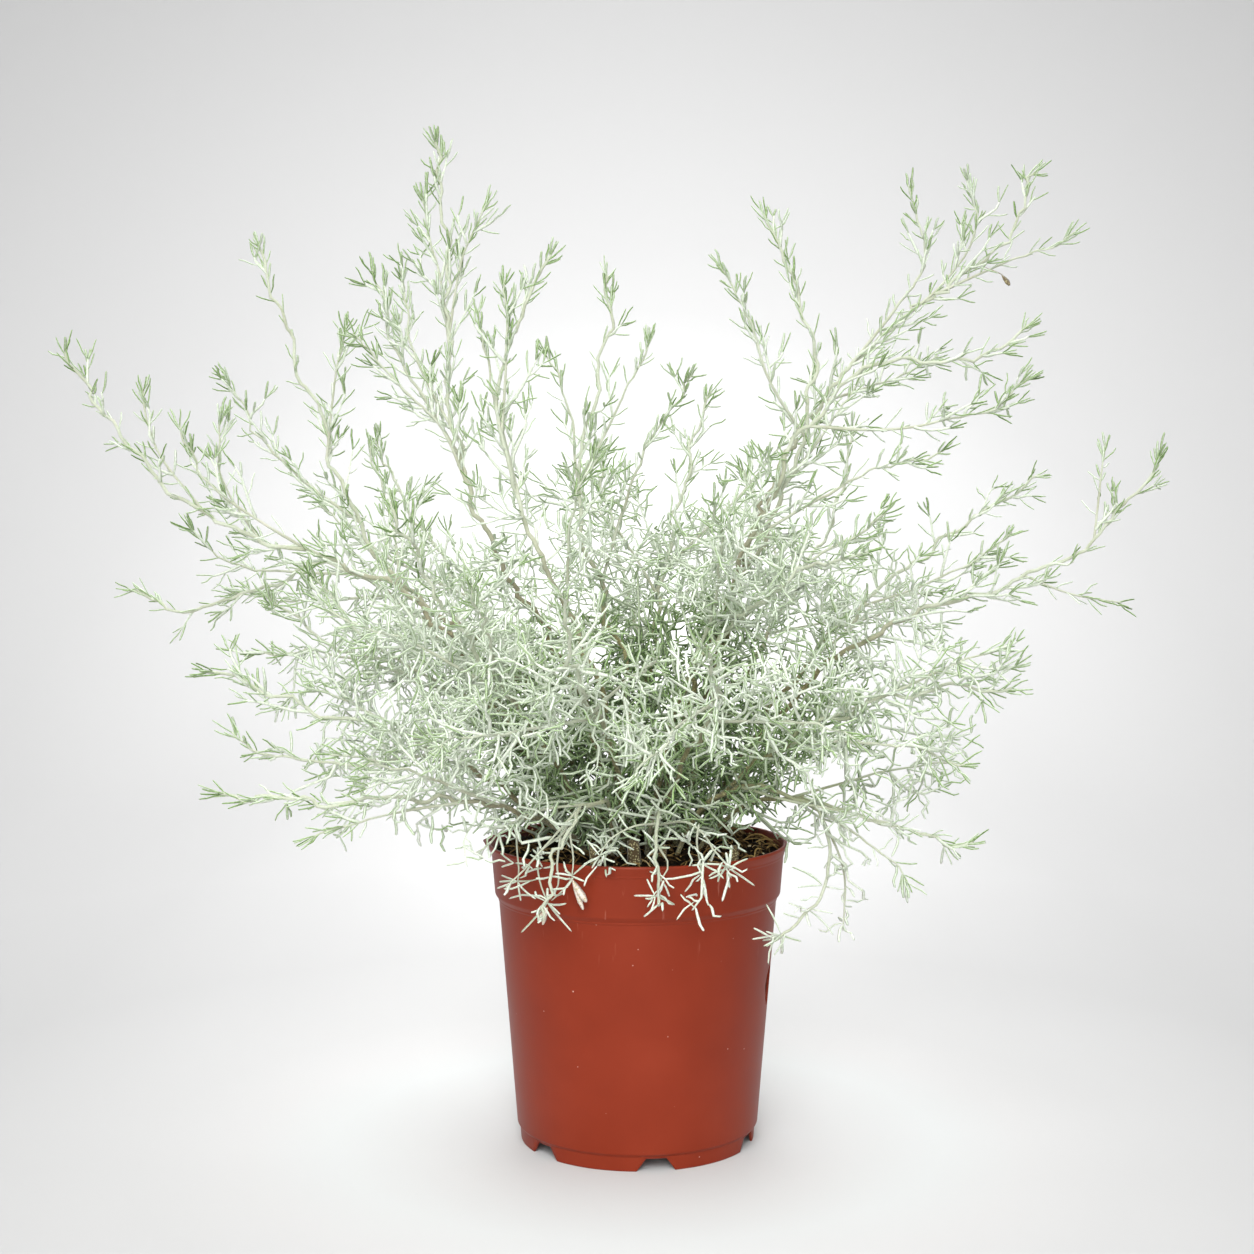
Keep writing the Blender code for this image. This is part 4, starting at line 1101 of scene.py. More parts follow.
# %% [markdown]
# A packed stem is a coarse polygon of a few long steps. The shoot that covers it
# passes the same corners as a smooth curve with a slow sway, so the two never
# part by more than a few millimetres.

# %% The main shoots and the side sprays
HOLE_DEPTH = 28 * MM
STEM_STEP = 52 * MM
SPRAY_STEP = 42 * MM
SHOOT_STEP = 5 * MM
SWAY_LENGTH = 80 * MM
SWAY = 1.8 * MM
SWAY_WAVES = 8
Path = namedtuple("Path", "points owner is_spray")


def plain_soil_height(radius):
    """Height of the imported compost, without the crumb."""
    return SOIL_EDGE + (SOIL_CROWN - SOIL_EDGE) * (1 - (radius / (SOIL_RADIUS + 0.6 * MM)) ** 2)


def wavy(points, seed):
    """Add a slow sway that starts at nothing: rough sine waves of the distance."""
    along = lengths_along(points)
    sway = [wave_field(along[:, None], np.random.default_rng((seed, axis)), SWAY_LENGTH, SWAY_WAVES, 0.8)
            for axis in range(3)]
    return points + SWAY * np.clip(along / SWAY_LENGTH - 0.5, 0, 1)[:, None] * np.stack(sway, axis=1)


def main_routes():
    """The main shoots' corners, a foot in the compost first, pushed clear of each other."""
    feet, mains = [], []
    for stem in STEMS:
        angle = math.radians(stem.ring.first_angle) + stem.place * math.tau / stem.ring.places
        surface = np.array([stem.ring.radius * math.cos(angle), stem.ring.radius * math.sin(angle),
                            plain_soil_height(stem.ring.radius)])
        feet.append(surface - (0, 0, HOLE_DEPTH))
        route = [surface + (0, 0, STRAIGHT_FOOT)] + [np.array(point) * MM for point in stem.route]
        mains.append(smooth_path(route, PATH_STEP))
    return [np.vstack([foot, coarse(path, STEM_STEP)])
            for foot, path in zip(feet, bend_clear(mains, np.arange(len(STEMS))))]


def spray_routes(mains):
    """The side sprays, from their shares of the main shoots, pushed clear; and their stems."""
    sprays, owners = [], []
    for owner, stem in enumerate(STEMS):
        for share, *route in stem.sprays:
            start, _ = points_at(mains[owner], np.array([share * lengths_along(mains[owner])[-1]]))
            sprays.append(smooth_path([start[0]] + [np.array(point) * MM for point in route], PATH_STEP))
            owners.append(owner)
    fixed = [even_line(path, PATH_STEP) for path in mains]
    return bend_clear(sprays, owners, fixed, np.arange(len(STEMS))), owners


def routed_paths():
    """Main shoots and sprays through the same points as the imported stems."""
    mains = main_routes()
    paths = [Path(wavy(smooth_path(path, SHOOT_STEP), owner), owner, False)
             for owner, path in enumerate(mains)]
    for spray, owner in zip(*spray_routes(mains)):
        main = paths[owner].points
        points = coarse(spray, SPRAY_STEP)
        points[0] = main[np.linalg.norm(main - spray[0], axis=1).argmin()]
        paths.append(Path(wavy(smooth_path(points, SHOOT_STEP), len(paths)), owner, True))
    return paths


paths = routed_paths()
print(len(paths), "shoots,", round(sum(lengths_along(path.points)[-1] for path in paths), 1), "m")

# %% [markdown]
# What hangs over the front of the rim is seen one leaf at a time, so chance
# won't do there. These few shoots and stars of leaves are listed one by one, each
# with the number of the stem that bears it, and in millimetres.

# %% Shoots and stars over the rim
# each: the stem, counted from 0, then the points that the shoot passes
FRONT_SHOOTS = (
    (9, (-42, -106, 222), (-46, -97, 214), (-60, -88, 201), (-60, -90, 186), (-55, -90, 171)),
    (9, (-47, -95, 212), (-49, -95, 195), (-48, -93, 184), (-53, -90, 174)),
    (9, (-41, -103, 215), (-39, -99, 200), (-40, -98, 189)),
    (9, (-40, -98, 187), (-46, -94, 179), (-52, -90, 173)),
    (9, (-74, -73, 181), (-66, -82, 183), (-60, -90, 186)),
    (8, (-73, -87, 227), (-74, -82, 212), (-74, -77, 200), (-73, -77, 189), (-74, -73, 181)),
    (10, (11, -100, 221), (-1, -106, 221), (-12, -105, 216), (-19, -104, 210), (-23, -103, 202)),
    (10, (12, -106, 208), (18, -106, 197), (12, -110, 187)),
    (10, (36, -104, 220), (35, -102, 210), (37, -101, 198), (40, -97, 183)),
)
# each: the stem, the star's middle, then the tips of its leaves
FRONT_STARS = (
    (9, (-55, -90, 171), (-80, -68, 169), (-72, -78, 150), (-43, -106, 174), (-40, -94, 154),
     (-47, -100, 166), (-65, -94, 166), (-55, -88, 180), (-61, -98, 165)),
    (9, (-40, -98, 189), (-45, -92, 197), (-27, -106, 201), (-50, -101, 191), (-32, -100, 186),
     (-44, -102, 193)),
    (9, (-58, -88, 192), (-66, -86, 200), (-50, -98, 197), (-68, -82, 188)),
    (8, (-74, -73, 181), (-85, -58, 182), (-86, -64, 179), (-87, -70, 176), (-72, -74, 169),
     (-62, -88, 173)),
    (8, (-76, -77, 193), (-85, -64, 197), (-84, -74, 190), (-64, -92, 192)),
    (10, (-23, -103, 202), (-31, -98, 211), (-13, -107, 206), (-14, -112, 200), (-28, -100, 194),
     (-33, -103, 197)),
    (10, (10, -114, 180), (-3, -108, 179), (5, -112, 190), (7, -116, 171), (22, -106, 173),
     (4, -111, 178), (14, -120, 187)),
    (10, (12, -106, 208), (2, -103, 218), (19, -108, 208), (19, -111, 220), (5, -105, 202)),
    (10, (14, -108, 190), (5, -105, 203)),
    (10, (54, -106, 195), (31, -108, 197), (66, -100, 200), (70, -104, 184), (56, -98, 208),
     (47, -110, 204), (42, -110, 191), (52, -112, 206)),
    (11, (88, -73, 148), (79, -68, 166), (70, -73, 145), (78, -84, 143), (80, -77, 130),
     (78, -82, 152), (101, -70, 143), (89, -64, 134)),
    (11, (104, -68, 163), (93, -64, 166), (120, -72, 161), (106, -74, 153), (121, -66, 146)),
    (11, (114, -66, 177), (98, -72, 177), (129, -60, 173), (95, -62, 188), (106, -58, 184)),
)
front_paths = [Path(smooth_path(np.array(route) * MM, SHOOT_STEP), owner, True)
               for owner, *route in FRONT_SHOOTS]
print(len(front_paths), "front shoots and", sum(len(star) - 2 for star in FRONT_STARS), "star leaves")

# %% [markdown]
# ## How the foliage grows
#
# A real shoot sets each new leaf a golden angle, 137.5 degrees, round from the
# last one, so that no leaf shades the next. Twigs start in the armpits of the
# leaves, so they follow the same spiral. Near a growing tip the leaves still
# stand close to the axis; lower down they have opened. Each twig and leaf here
# is a curve of three points: its start, its bend and its end.

# %% The dense mass and curves of growth
Sites = namedtuple("Sites", "points axis share around owner")
Curves = namedtuple("Curves", "start bend end sway length owner")
BUSH_MIDDLE = np.array([0.0, 0.0, 0.29])
BUSH_REACH = np.array([0.215, 0.20, 0.125])
BUSH_EDGE = (0.8, 1.25)
UP = np.array([0.0, 0.0, 1.0])


def smooth_step(value, low, high):
    """0 below low, 1 above high, and 3t^2 - 2t^3 between them."""
    t = np.clip((value - low) / (high - low), 0, 1)
    return t * t * (3 - 2 * t)


def inside_bush(points):
    """1 inside the dense mass and 0 outside it, by an egg round its middle."""
    egg = np.linalg.norm((points - BUSH_MIDDLE) / BUSH_REACH, axis=1)
    return 1 - smooth_step(egg, *BUSH_EDGE)


def curve_at(curves, t):
    """Points and headings of the curves at shares t.

    A point is (1-t)^2 a + 2t(1-t) b + t^2 c, plus the sway times sin(2 pi t).
    """
    t = t[..., None]
    a, b, c, sway = (field[:, None] for field in curves[:4])
    heading = 2 * (1 - t) * (b - a) + 2 * t * (c - b) + math.tau * np.cos(math.tau * t) * sway
    return (1 - t) ** 2 * a + 2 * t * (1 - t) * b + t ** 2 * c + np.sin(math.tau * t) * sway, unit(heading)


print("golden angle", round(math.degrees(GOLDEN_ANGLE), 1), "degrees")

# %% [markdown]
# A site is a place where something may sprout: its point, the axis it stands on,
# how far along that axis it is, and the angle round it. All the sites of one kind
# are a few arrays, so the next step can bend thousands of leaves at once.


# %% Where things sprout
def sites_on_path(rng, path, first, last, spacing):
    """Sprouting places along a main shoot or spray, a golden angle apart."""
    total = lengths_along(path.points)[-1]
    distances = np.arange(first, total - last, spacing)
    distances = np.clip(distances + rng.uniform(-0.3, 0.3, len(distances)) * spacing, 0, total)
    points, axis = points_at(path.points, distances)
    around = rng.uniform(0, math.tau) + np.arange(len(distances)) * GOLDEN_ANGLE
    return Sites(points, axis, distances / total, around, np.full(len(distances), path.owner))


def sites_on_curves(rng, curves, spacing, first):
    """Sprouting places along every curve from a first share of its length."""
    counts = np.maximum(np.round(curves.length * (1 - first) / spacing), 1).astype(int)
    which = np.repeat(np.arange(len(counts)), counts)
    step = np.arange(len(which)) - np.repeat(np.cumsum(counts) - counts, counts)
    share = first + (1 - first) * (step + rng.uniform(0.2, 0.8, len(which))) / counts[which]
    picked = Curves(*(field[which] for field in curves))
    points, axis = curve_at(picked, share[:, None])
    around = rng.uniform(0, math.tau, len(counts))[which] + step * GOLDEN_ANGLE
    return Sites(points[:, 0], axis[:, 0], share, around, picked.owner)


def together(sets):
    """Put several named tuples of arrays into one."""
    return type(sets[0])(*(np.concatenate(fields) for fields in zip(*sets)))


def chosen(items, keep):
    """The rows of a named tuple of arrays that the mask keeps."""
    return type(items)(*(field[keep] for field in items))


print("a site has its", ", ".join(Sites._fields))

# %% [markdown]
# One function grows leaves, twigs and twiglets alike. It needs no list of single
# leaves, only how wide they stand off, how long they are and how much they stray.

# %% Sprouting
SWAY_PER_WANDER = 0.17
# how far curves may reach past the CAD box, and how near to the pot's wall
BOX_ROOM = 7 * MM
WALL_ROOM = 1.2 * MM
SOIL_ROOM = 2 * MM


def sprout(rng, sites, angle, length, lift, close, wander):
    """Curves that leave their sites at an angle to the axis.

    The first half goes off at the angle; the second half turns up by the lift,
    towards the axis by the close share, and anywhere by the wander share.
    """
    axis = sites.axis
    helper = np.where(np.abs(axis[:, 2:]) < 0.9, UP, np.array([1.0, 0, 0]))
    first = unit(np.cross(axis, helper))
    second = np.cross(axis, first)
    sideways = np.cos(sites.around)[:, None] * first + np.sin(sites.around)[:, None] * second
    out = np.cos(angle)[:, None] * axis + np.sin(angle)[:, None] * sideways
    bend = sites.points + 0.5 * length[:, None] * out
    turned = out + np.asarray(lift)[..., None] * UP + np.asarray(close)[..., None] * axis
    turned = unit(turned + np.asarray(wander)[..., None] * rng.normal(size=out.shape))
    sway = rng.normal(size=out.shape) * (SWAY_PER_WANDER * np.asarray(wander) * length)[:, None]
    return Curves(sites.points, bend, bend + 0.5 * length[:, None] * turned, sway, length, sites.owner)


def is_free(curves):
    """True for curves clear of the pot and the compost and close to the CAD box."""
    points, _ = curve_at(curves, np.array([[0.35, 0.7, 1.0]]))
    low, high = np.array(cad_box[0]) - BOX_ROOM, np.array(cad_box[1]) + BOX_ROOM
    in_box = ((points > low) & (points < high)).all(axis=2)
    from_axis = np.hypot(points[..., 0], points[..., 1])
    inside = COLLAR_FOOT_RADIUS - WALL - WALL_ROOM
    in_wall = ((points[..., 2] < POT_HEIGHT + WALL_ROOM) & (from_axis > inside)
               & (from_axis < RIM_RADIUS + WALL_ROOM))
    in_soil = (points[..., 2] < SOIL_CROWN + SOIL_ROOM) & (from_axis <= inside)
    return (in_box & ~in_wall & ~in_soil).all(axis=1)


print("room round the CAD box", round(BOX_ROOM / MM), "mm")

# %% [markdown]
# The bush has two regions that grow differently. In the dense mass and in what
# hangs over the pot's front, twigs spread wide and wander; elsewhere they follow
# their shoot. Each region is a soft mask from 0 to 1, so a rule can blend from
# one way of growing to the other.

# %% Masks and blends
# soft limits, in metres, of what hangs over the rim: its top, its sides, and where it starts
# from the pot's axis and towards the front
HANGING_TOP = (0.22, 0.26)
HANGING_SIDE = (0.14, 0.17)
HANGING_FROM_AXIS = (0.06, 0.09)
HANGING_FRONT = (0.02, 0.05)
rng = np.random.default_rng(SEED + 2)


def uniform(low, high, count):
    """One random number for each of a count."""
    return rng.uniform(low, high, count)


def over_rim(points):
    """1 where shoots hang over the pot's front, 0 elsewhere: four soft limits multiplied."""
    x, y, z = points.T
    low = 1 - smooth_step(z, *HANGING_TOP)
    beside = 1 - smooth_step(np.abs(x), *HANGING_SIDE)
    beyond = smooth_step(np.hypot(x, y), *HANGING_FROM_AXIS)
    return low * beside * beyond * smooth_step(-y, *HANGING_FRONT)


def spreading(points):
    """1 where leaves stand wide open: in the dense mass and over the pot's front."""
    return 1 - (1 - inside_bush(points)) * (1 - over_rim(points))


def blend(share, outer, inner):
    """Outer where the share is 0, inner where it is 1."""
    return outer + (inner - outer) * share


print("dense mass", (2 * BUSH_REACH / MM).round(), "mm across, round", BUSH_MIDDLE / MM)

# %% [markdown]
# Twigs come first, on every shoot, and longer near its foot, where they have had
# more years. What would grow into the pot, the compost or far out of the plant's
# box is dropped.

# %% Twigs
TWIG_SPACING = 7.5 * MM
TWIG_END = 10 * MM
SPRAY_FOOT = 6 * MM
SHOOT_FOOT = HOLE_DEPTH + 8 * MM
# how long twigs are, in millimetres, at a shoot's foot and at its tip
SHOOT_TWIGS = (50, 16)
SPRAY_TWIGS = (38, 16)
MASS_TWIGS = (26, 62)
# the share of places that bear a twig, outside the mass and inside it; hanging ones are fewer
TWIG_SHARES = (0.31, 0.5)
HANGING_LOSS = 0.7


def grow_twigs():
    """Twigs on every shoot, a golden angle apart."""
    sites, reach = [], []
    for path in paths:
        first = SPRAY_FOOT if path.is_spray else SHOOT_FOOT
        some = sites_on_path(rng, path, first, TWIG_END, TWIG_SPACING)
        sites.append(some)
        long, short = SPRAY_TWIGS if path.is_spray else SHOOT_TWIGS
        reach.append((long + (short - long) * some.share) * MM)
    sites, reach = together(sites), np.concatenate(reach)
    inner = inside_bush(sites.points)
    hanging = over_rim(sites.points)
    keep = uniform(0, 1, len(reach)) < blend(inner, *TWIG_SHARES) * (1 - HANGING_LOSS * hanging)
    sites, reach, inner = chosen(sites, keep), reach[keep], inner[keep]
    count = len(reach)
    angle = np.radians(blend(inner, 38, 62) + rng.normal(0, 1, count) * blend(inner, 7, 18))
    length = blend(inner, reach * uniform(0.6, 1.2, count), uniform(*MASS_TWIGS, count) * MM)
    grown = sprout(rng, sites, angle, length, blend(inner, 0.3, 0.0) + uniform(-0.2, 0.25, count),
                   blend(inner, 0.25, 0.0), blend(inner, 0.14, 0.55))
    return chosen(grown, is_free(grown))


twigs = grow_twigs()
print(len(twigs.length), "twigs")

# %% [markdown]
# The long twigs branch once more by the same rule. In the mass their twiglets are
# longer and more of them grow, which is what closes it to the eye.

# %% Twiglets
LONG_TWIG = 26 * MM
TWIGLET_SPACING = 13 * MM
TWIGLET_SHARES = (0.36, 0.66)
# how long twiglets are, in millimetres
OUTER_TWIGLETS = (9, 19)
MASS_TWIGLETS = (14, 32)


def grow_twiglets():
    """Smaller twigs on the long ones, shorter towards a twig's end."""
    sites = sites_on_curves(rng, chosen(twigs, twigs.length > LONG_TWIG), TWIGLET_SPACING, 0.2)
    inner = inside_bush(sites.points)
    keep = (uniform(0, 1, len(inner)) < blend(inner, *TWIGLET_SHARES)) & (sites.share < 0.88)
    sites, inner = chosen(sites, keep), inner[keep]
    count = len(inner)
    angle = np.radians(blend(inner, 38, 60) + rng.normal(0, 10, count))
    length = blend(inner, uniform(*OUTER_TWIGLETS, count), uniform(*MASS_TWIGLETS, count))
    length = length * (1.15 - 0.5 * sites.share) * MM
    grown = sprout(rng, sites, angle, length, blend(inner, 0.2, 0.0) + uniform(-0.15, 0.2, count),
                   blend(inner, 0.2, 0.0), blend(inner, 0.14, 0.5))
    return chosen(grown, is_free(grown))


twiglets = grow_twiglets()
print(len(twiglets.length), "twiglets")

# %% [markdown]
# Leaves stand on twigs, twiglets and the young part of every shoot. Each twig
# ends in a tuft and each shoot in a spike of young leaves, as the photograph
# shows. A main shoot has a dense sleeve of leaves at its foot, and above that
# its wood is bare outside the mass, up to where it turns young.

# %% Sites of the leaves
TWIG_LEAF_SPACING = 5.2 * MM
TWIGLET_LEAF_SPACING = 4.8 * MM
TUFT_START = 0.9
TUFT_LEAVES = 3
SPRAY_LEAF_SPACING = 5.6 * MM
SHOOT_LEAF_SPACING = 5.4 * MM
# the sleeve of leaves at a main shoot's foot ends at this share of its length
SLEEVE_SPACING = 3.1 * MM
SLEEVE_SHARE = 0.32
SPIKE_LENGTH = 30 * MM
SPIKE_SPACING = 3.4 * MM
TIP_LENGTH = 6 * MM
TIP_LEAVES = 4
FRONT_LEAF_SPACING = 6 * MM


def leaf_sites():
    """Where leaves may stand, how young they are, and how bare the wood is there."""
    sites, young, bare = [], [], []

    def add(some, youth, bare_share=0.0):
        sites.append(some)
        young.append(np.broadcast_to(youth, some.share.shape))
        bare.append(np.broadcast_to(bare_share, some.share.shape))

    for curves, spacing in ((twigs, TWIG_LEAF_SPACING), (twiglets, TWIGLET_LEAF_SPACING)):
        some = sites_on_curves(rng, curves, spacing, 0.12)
        add(some, 0.3 + 0.6 * some.share ** 2)
        add(sites_on_curves(rng, curves, curves.length * (1 - TUFT_START) / TUFT_LEAVES, TUFT_START), 1.0)
    for path in paths:
        total = lengths_along(path.points)[-1]
        if path.is_spray:
            some = sites_on_path(rng, path, SPRAY_FOOT, 0, SPRAY_LEAF_SPACING)
            add(some, smooth_step(some.share, 0.5, 1.0))
        else:
            add(sites_on_path(rng, path, SHOOT_FOOT, (1 - SLEEVE_SHARE) * total, SLEEVE_SPACING), 0.0)
            some = sites_on_path(rng, path, SLEEVE_SHARE * total, 0, SHOOT_LEAF_SPACING)
            add(some, smooth_step(some.share, 0.5, 1.0), 1 - smooth_step(some.share, 0.6, 0.85))
        add(sites_on_path(rng, path, total - SPIKE_LENGTH, 0, SPIKE_SPACING), 1.0)
        add(sites_on_path(rng, path, total - TIP_LENGTH, 0, TIP_LENGTH / TIP_LEAVES), 1.0)
    for path in front_paths:
        add(sites_on_path(rng, path, 0, 0, FRONT_LEAF_SPACING), 0.0)
    return together(sites), np.concatenate(young), np.concatenate(bare)


sites, young, bare = leaf_sites()
print(len(young), "places for a leaf")

# %% [markdown]
# Not every place keeps its leaf. A young leaf stands close to its axis and leans
# on towards the tip; an old one, or one in the dense mass, stands wide open and
# twists where it likes. The stars over the rim are added as they were set.

# %% Leaves
LEAF_LENGTH = 14.5 * MM
# the share of places that keep a leaf, outside the mass and inside it; hanging ones are fewer
LEAF_SHARES = (0.7, 0.64)
HANGING_LEAF_LOSS = 0.45
# degrees between leaf and axis, for old and young leaves, outside the mass and inside it
OUTER_ANGLES = (52, 32)
MASS_ANGLES = (74, 50)
HANGING_ANGLE = 12
STAR_BOW = 0.12


def star_leaves():
    """The listed leaves, each bowed sideways by a little of its length."""
    owner = np.array([star[0] for star in FRONT_STARS for _ in star[2:]])
    start = np.array([star[1] for star in FRONT_STARS for _ in star[2:]]) * MM
    end = np.array([tip for star in FRONT_STARS for tip in star[2:]]) * MM
    length = np.linalg.norm(end - start, axis=1)
    bow = STAR_BOW * length[:, None] * rng.normal(size=start.shape)
    return Curves(start, (start + end) / 2 + bow, end, 0 * bow, length, owner)


def grow_leaves(sites, young, bare):
    """The leaves, with how young each one is and how widely it spreads."""
    spread, hanging = spreading(sites.points), over_rim(sites.points)
    outer_share, mass_share = LEAF_SHARES
    share = blend(spread, outer_share * (1 - bare), mass_share) * (1 - HANGING_LEAF_LOSS * hanging)
    kept = uniform(0, 1, len(young)) < share
    sites, young, spread, hanging = chosen(sites, kept), young[kept], spread[kept], hanging[kept]
    count = len(young)
    angle = blend(spread, blend(young, *OUTER_ANGLES), blend(young, *MASS_ANGLES))
    angle = angle + HANGING_ANGLE * hanging + rng.normal(0, 1, count) * blend(spread, 8, 14)
    length = LEAF_LENGTH * uniform(0.72, 1.15, count)
    length = length * blend(spread, 1.08 - 0.14 * young, 1.4 - 0.3 * hanging)
    leaves = sprout(rng, sites, np.radians(angle), length, uniform(-0.05, 0.15, count),
                    blend(spread, 0.5 + 0.5 * young, 0.0) * uniform(0.4, 1.4, count),
                    blend(spread, 0.13, 0.52 - 0.12 * hanging))
    free = is_free(leaves)
    stars = star_leaves()
    ones = np.ones(len(stars.length))
    return (together([chosen(leaves, free), stars]), np.concatenate([young[free], 0.2 * ones]),
            np.concatenate([spread[free], ones]))


leaves, leaf_youth, leaf_spread = grow_leaves(sites, young, bare)
print(len(leaves.length), "leaves")

# %% [markdown]
# ## Felt and bark
#
# The leaves are green below a felt of white hairs, so a leaf looks silver where
# the felt is thick and grey-green where it is young; its margins and tip are
# painted darker green as painted edge shade. The felt makes the surface quite
# matt, with a faint sheen at the edges. Bark starts as the same felt and turns
# beige, then brown, as the wood gets old, and its darkest brown, at a shoot's
# foot, is partly painted shade.

# %% The felted foliage
# felt hairs are 0.3 mm long; drawn as 1.54 mm patches of thin and thick felt
FELT_PATCH = 1.5385 * MM
FELT_CHANGE = 0.12
LEAF_TONES = ((0.0, "#354F1F"), (0.3, "#8AAA66"), (0.6, "#BFCBB5"), (0.8, "#D5E1CD"), (1.0, "#F7FAF4"))
WARM_SHARE = 0.16
# the darkest bark tone, used at the foot of the main shoots, is partly painted shade
BARK_TONES = ((0.0, "#3A2F20"), (0.3, "#75644A"), (0.6, "#A39D84"), (0.85, "#C2C2B2"), (1.0, "#E6D8CC"))
# leaf scars on the old wood: pale dots 0.8 mm across, drawn a little coarser than they are
SCAR_SPACING = 1.25 * MM
SCAR_EDGE = 0.5625 * MM
SCAR_CORE = 0.3125 * MM


def felted_foliage():
    """Silver felt over green; growth holds silver, chance, wood and share."""
    material, tree, place = new_material("felted silver leaf and bark")
    growth = add_node(tree, "Attribute", attribute_name="growth")
    parts = add_node(tree, "SeparateColor", {"Color": growth})
    silver, chance, wood = (parts.outputs[name] for name in ("Red", "Green", "Blue"))
    felt = add_node(tree, "TexNoise", {"Vector": place, "Scale": 1 / FELT_PATCH, "Detail": 3.0})
    patchy = add_node(tree, "MapRange", {"Value": felt, "From Min": 0.3, "From Max": 0.7,
                                         "To Min": -FELT_CHANGE, "To Max": FELT_CHANGE})
    thick = add_node(tree, "Math", {0: silver, 1: patchy}, operation="ADD")
    leaf = add_node(tree, "ValToRGB", {"Fac": thick}, LEAF_TONES)
    warm = add_node(tree, "Math", {0: chance, 1: WARM_SHARE}, operation="MULTIPLY")
    leaf = add_node(tree, "Mix", {FACTOR: warm, LOW: leaf, HIGH: "#CBD0BA"}, data_type="RGBA")
    bark = add_node(tree, "ValToRGB", {"Fac": chance}, BARK_TONES)
    dots = add_node(tree, "TexVoronoi", {"Vector": place, "Scale": 1 / SCAR_SPACING})
    scar = add_node(tree, "MapRange", {"Value": dots, "From Min": SCAR_EDGE / SCAR_SPACING,
                                       "From Max": SCAR_CORE / SCAR_SPACING})
    old = add_node(tree, "MapRange", {"Value": wood, "From Min": 0.72, "From Max": 0.9})
    scarred = add_node(tree, "Math", {0: scar, 1: old}, operation="MULTIPLY")
    bark = add_node(tree, "Mix", {FACTOR: scarred, LOW: bark, HIGH: "#B9B184"}, data_type="RGBA")
    color = add_node(tree, "Mix", {FACTOR: wood, LOW: leaf.outputs[MIXED], HIGH: bark.outputs[MIXED]},
                     data_type="RGBA")
    bump = add_node(tree, "Bump", {"Height": felt, "Strength": 0.25, "Distance": 0.4 * MM})
    shader = add_node(tree, "BsdfPrincipled", {
        "Base Color": color.outputs[MIXED], "Roughness": 0.88, "IOR": 1.4, "Specular IOR Level": 0.2,
        "Sheen Weight": 0.2, "Sheen Roughness": 0.5, "Normal": bump})
    add_node(tree, "OutputMaterial", {"Surface": shader})
    print(material.name, "with", len(tree.nodes), "nodes")
    return material


def growth_values(count, per_string, silver, chance, wood):
    """The growth attribute of a set of strings, one value for each string."""
    values = np.stack([np.broadcast_to(v, count) for v in (silver, chance, wood, 1.0)], axis=1)
    return np.repeat(values, per_string, axis=0)


foliage = felted_foliage()

# %% [markdown]
# The photograph shows a few dried pink petals over the rim, a dried bud at the
# upper right, a shred of bark in the middle and the stumps of pruned stems. They
# are strings of rings too, each listed and joined to the mesh of one stem.

# %% Dried petals, a bud and stumps
# each: stem, counted from 0, start, end, half width in mm, and place in the bark's tones
DRIED = (
    (9, (-40, -97, 187), (-31, -98, 173), 2.2, 1.0),
    (9, (-40, -97, 187), (-33, -97, 168), 1.6, 0.97),
    (9, (-55, -88, 168), (-61, -86, 159), 2.0, 1.0),
    (9, (-55, -88, 168), (-58, -88, 157), 1.5, 0.97),
    (13, (234, 80, 573), (248, 79, 567), 0.5, 0.5),
    (13, (247, 79, 567), (253, 80, 560), 1.9, 0.35),
    (22, (24, -149, 293), (28, -151, 291), 1.8, 0.1),
)
PETAL_PLACES = np.array([[0.0, 0.05, 0.35, 0.7, 0.95, 1.0]])
PETAL_WIDTHS = np.array([0.25, 0.8, 1.0, 0.5])
PETAL_DEPTH = 0.25 * MM
# stumps of pruned stems, in the same columns
STUMPS = (
    (9, (-24, -66, 174), (-28, -62, 203), 3.4, 0.12),
    (10, (-1, -66, 174), (-3, -62, 206), 4.6, 0.1),
    (10, (13, -60, 174), (16, -57, 202), 3.0, 0.14),
    (11, (58, -48, 174), (61, -46, 199), 3.2, 0.12),
)
STUMP_WIDTHS = np.array([1.1, 1.0, 0.95, 0.8])
STUMP_SIDES = 9
BOW_TO_FRONT = np.array([0, -0.15, 0])


def hand_set_strings(rows, shape, deepest, sides):
    """Strings of rings from rows of a table, each bowed a little to the front."""
    start, end = (np.array([row[k] for row in rows], float).reshape(-1, 3) * MM for k in (1, 2))
    length = np.linalg.norm(end - start, axis=1)
    bow = BOW_TO_FRONT * length[:, None]
    curves = Curves(start, (start + end) / 2 + bow, end, 0 * bow, length, np.zeros(len(rows)))
    centers, _ = curve_at(curves, PETAL_PLACES)
    widths = np.array([row[3] for row in rows]).reshape(-1, 1) * shape * MM
    depths = np.minimum(widths, deepest)
    across = np.broadcast_to(np.array([0.9, 0.3, 0.2]), (len(rows), 1, 3))
    points, faces = ring_strings(centers, widths, depths, across, sides)
    tone = np.array([row[4] for row in rows])
    return points, faces, growth_values(len(rows), sides * len(shape) + 2, 0.9, tone, 1.0)


def dried_strings(owner):
    """The dried bits and the stumps that one stem bears."""
    bits = [row for row in DRIED if row[0] == owner]
    stumps = [row for row in STUMPS if row[0] == owner]
    return [hand_set_strings(bits, PETAL_WIDTHS, PETAL_DEPTH, 4),
            hand_set_strings(stumps, STUMP_WIDTHS, np.inf, STUMP_SIDES)]


print(len(DRIED), "dried bits and", len(STUMPS), "stumps")
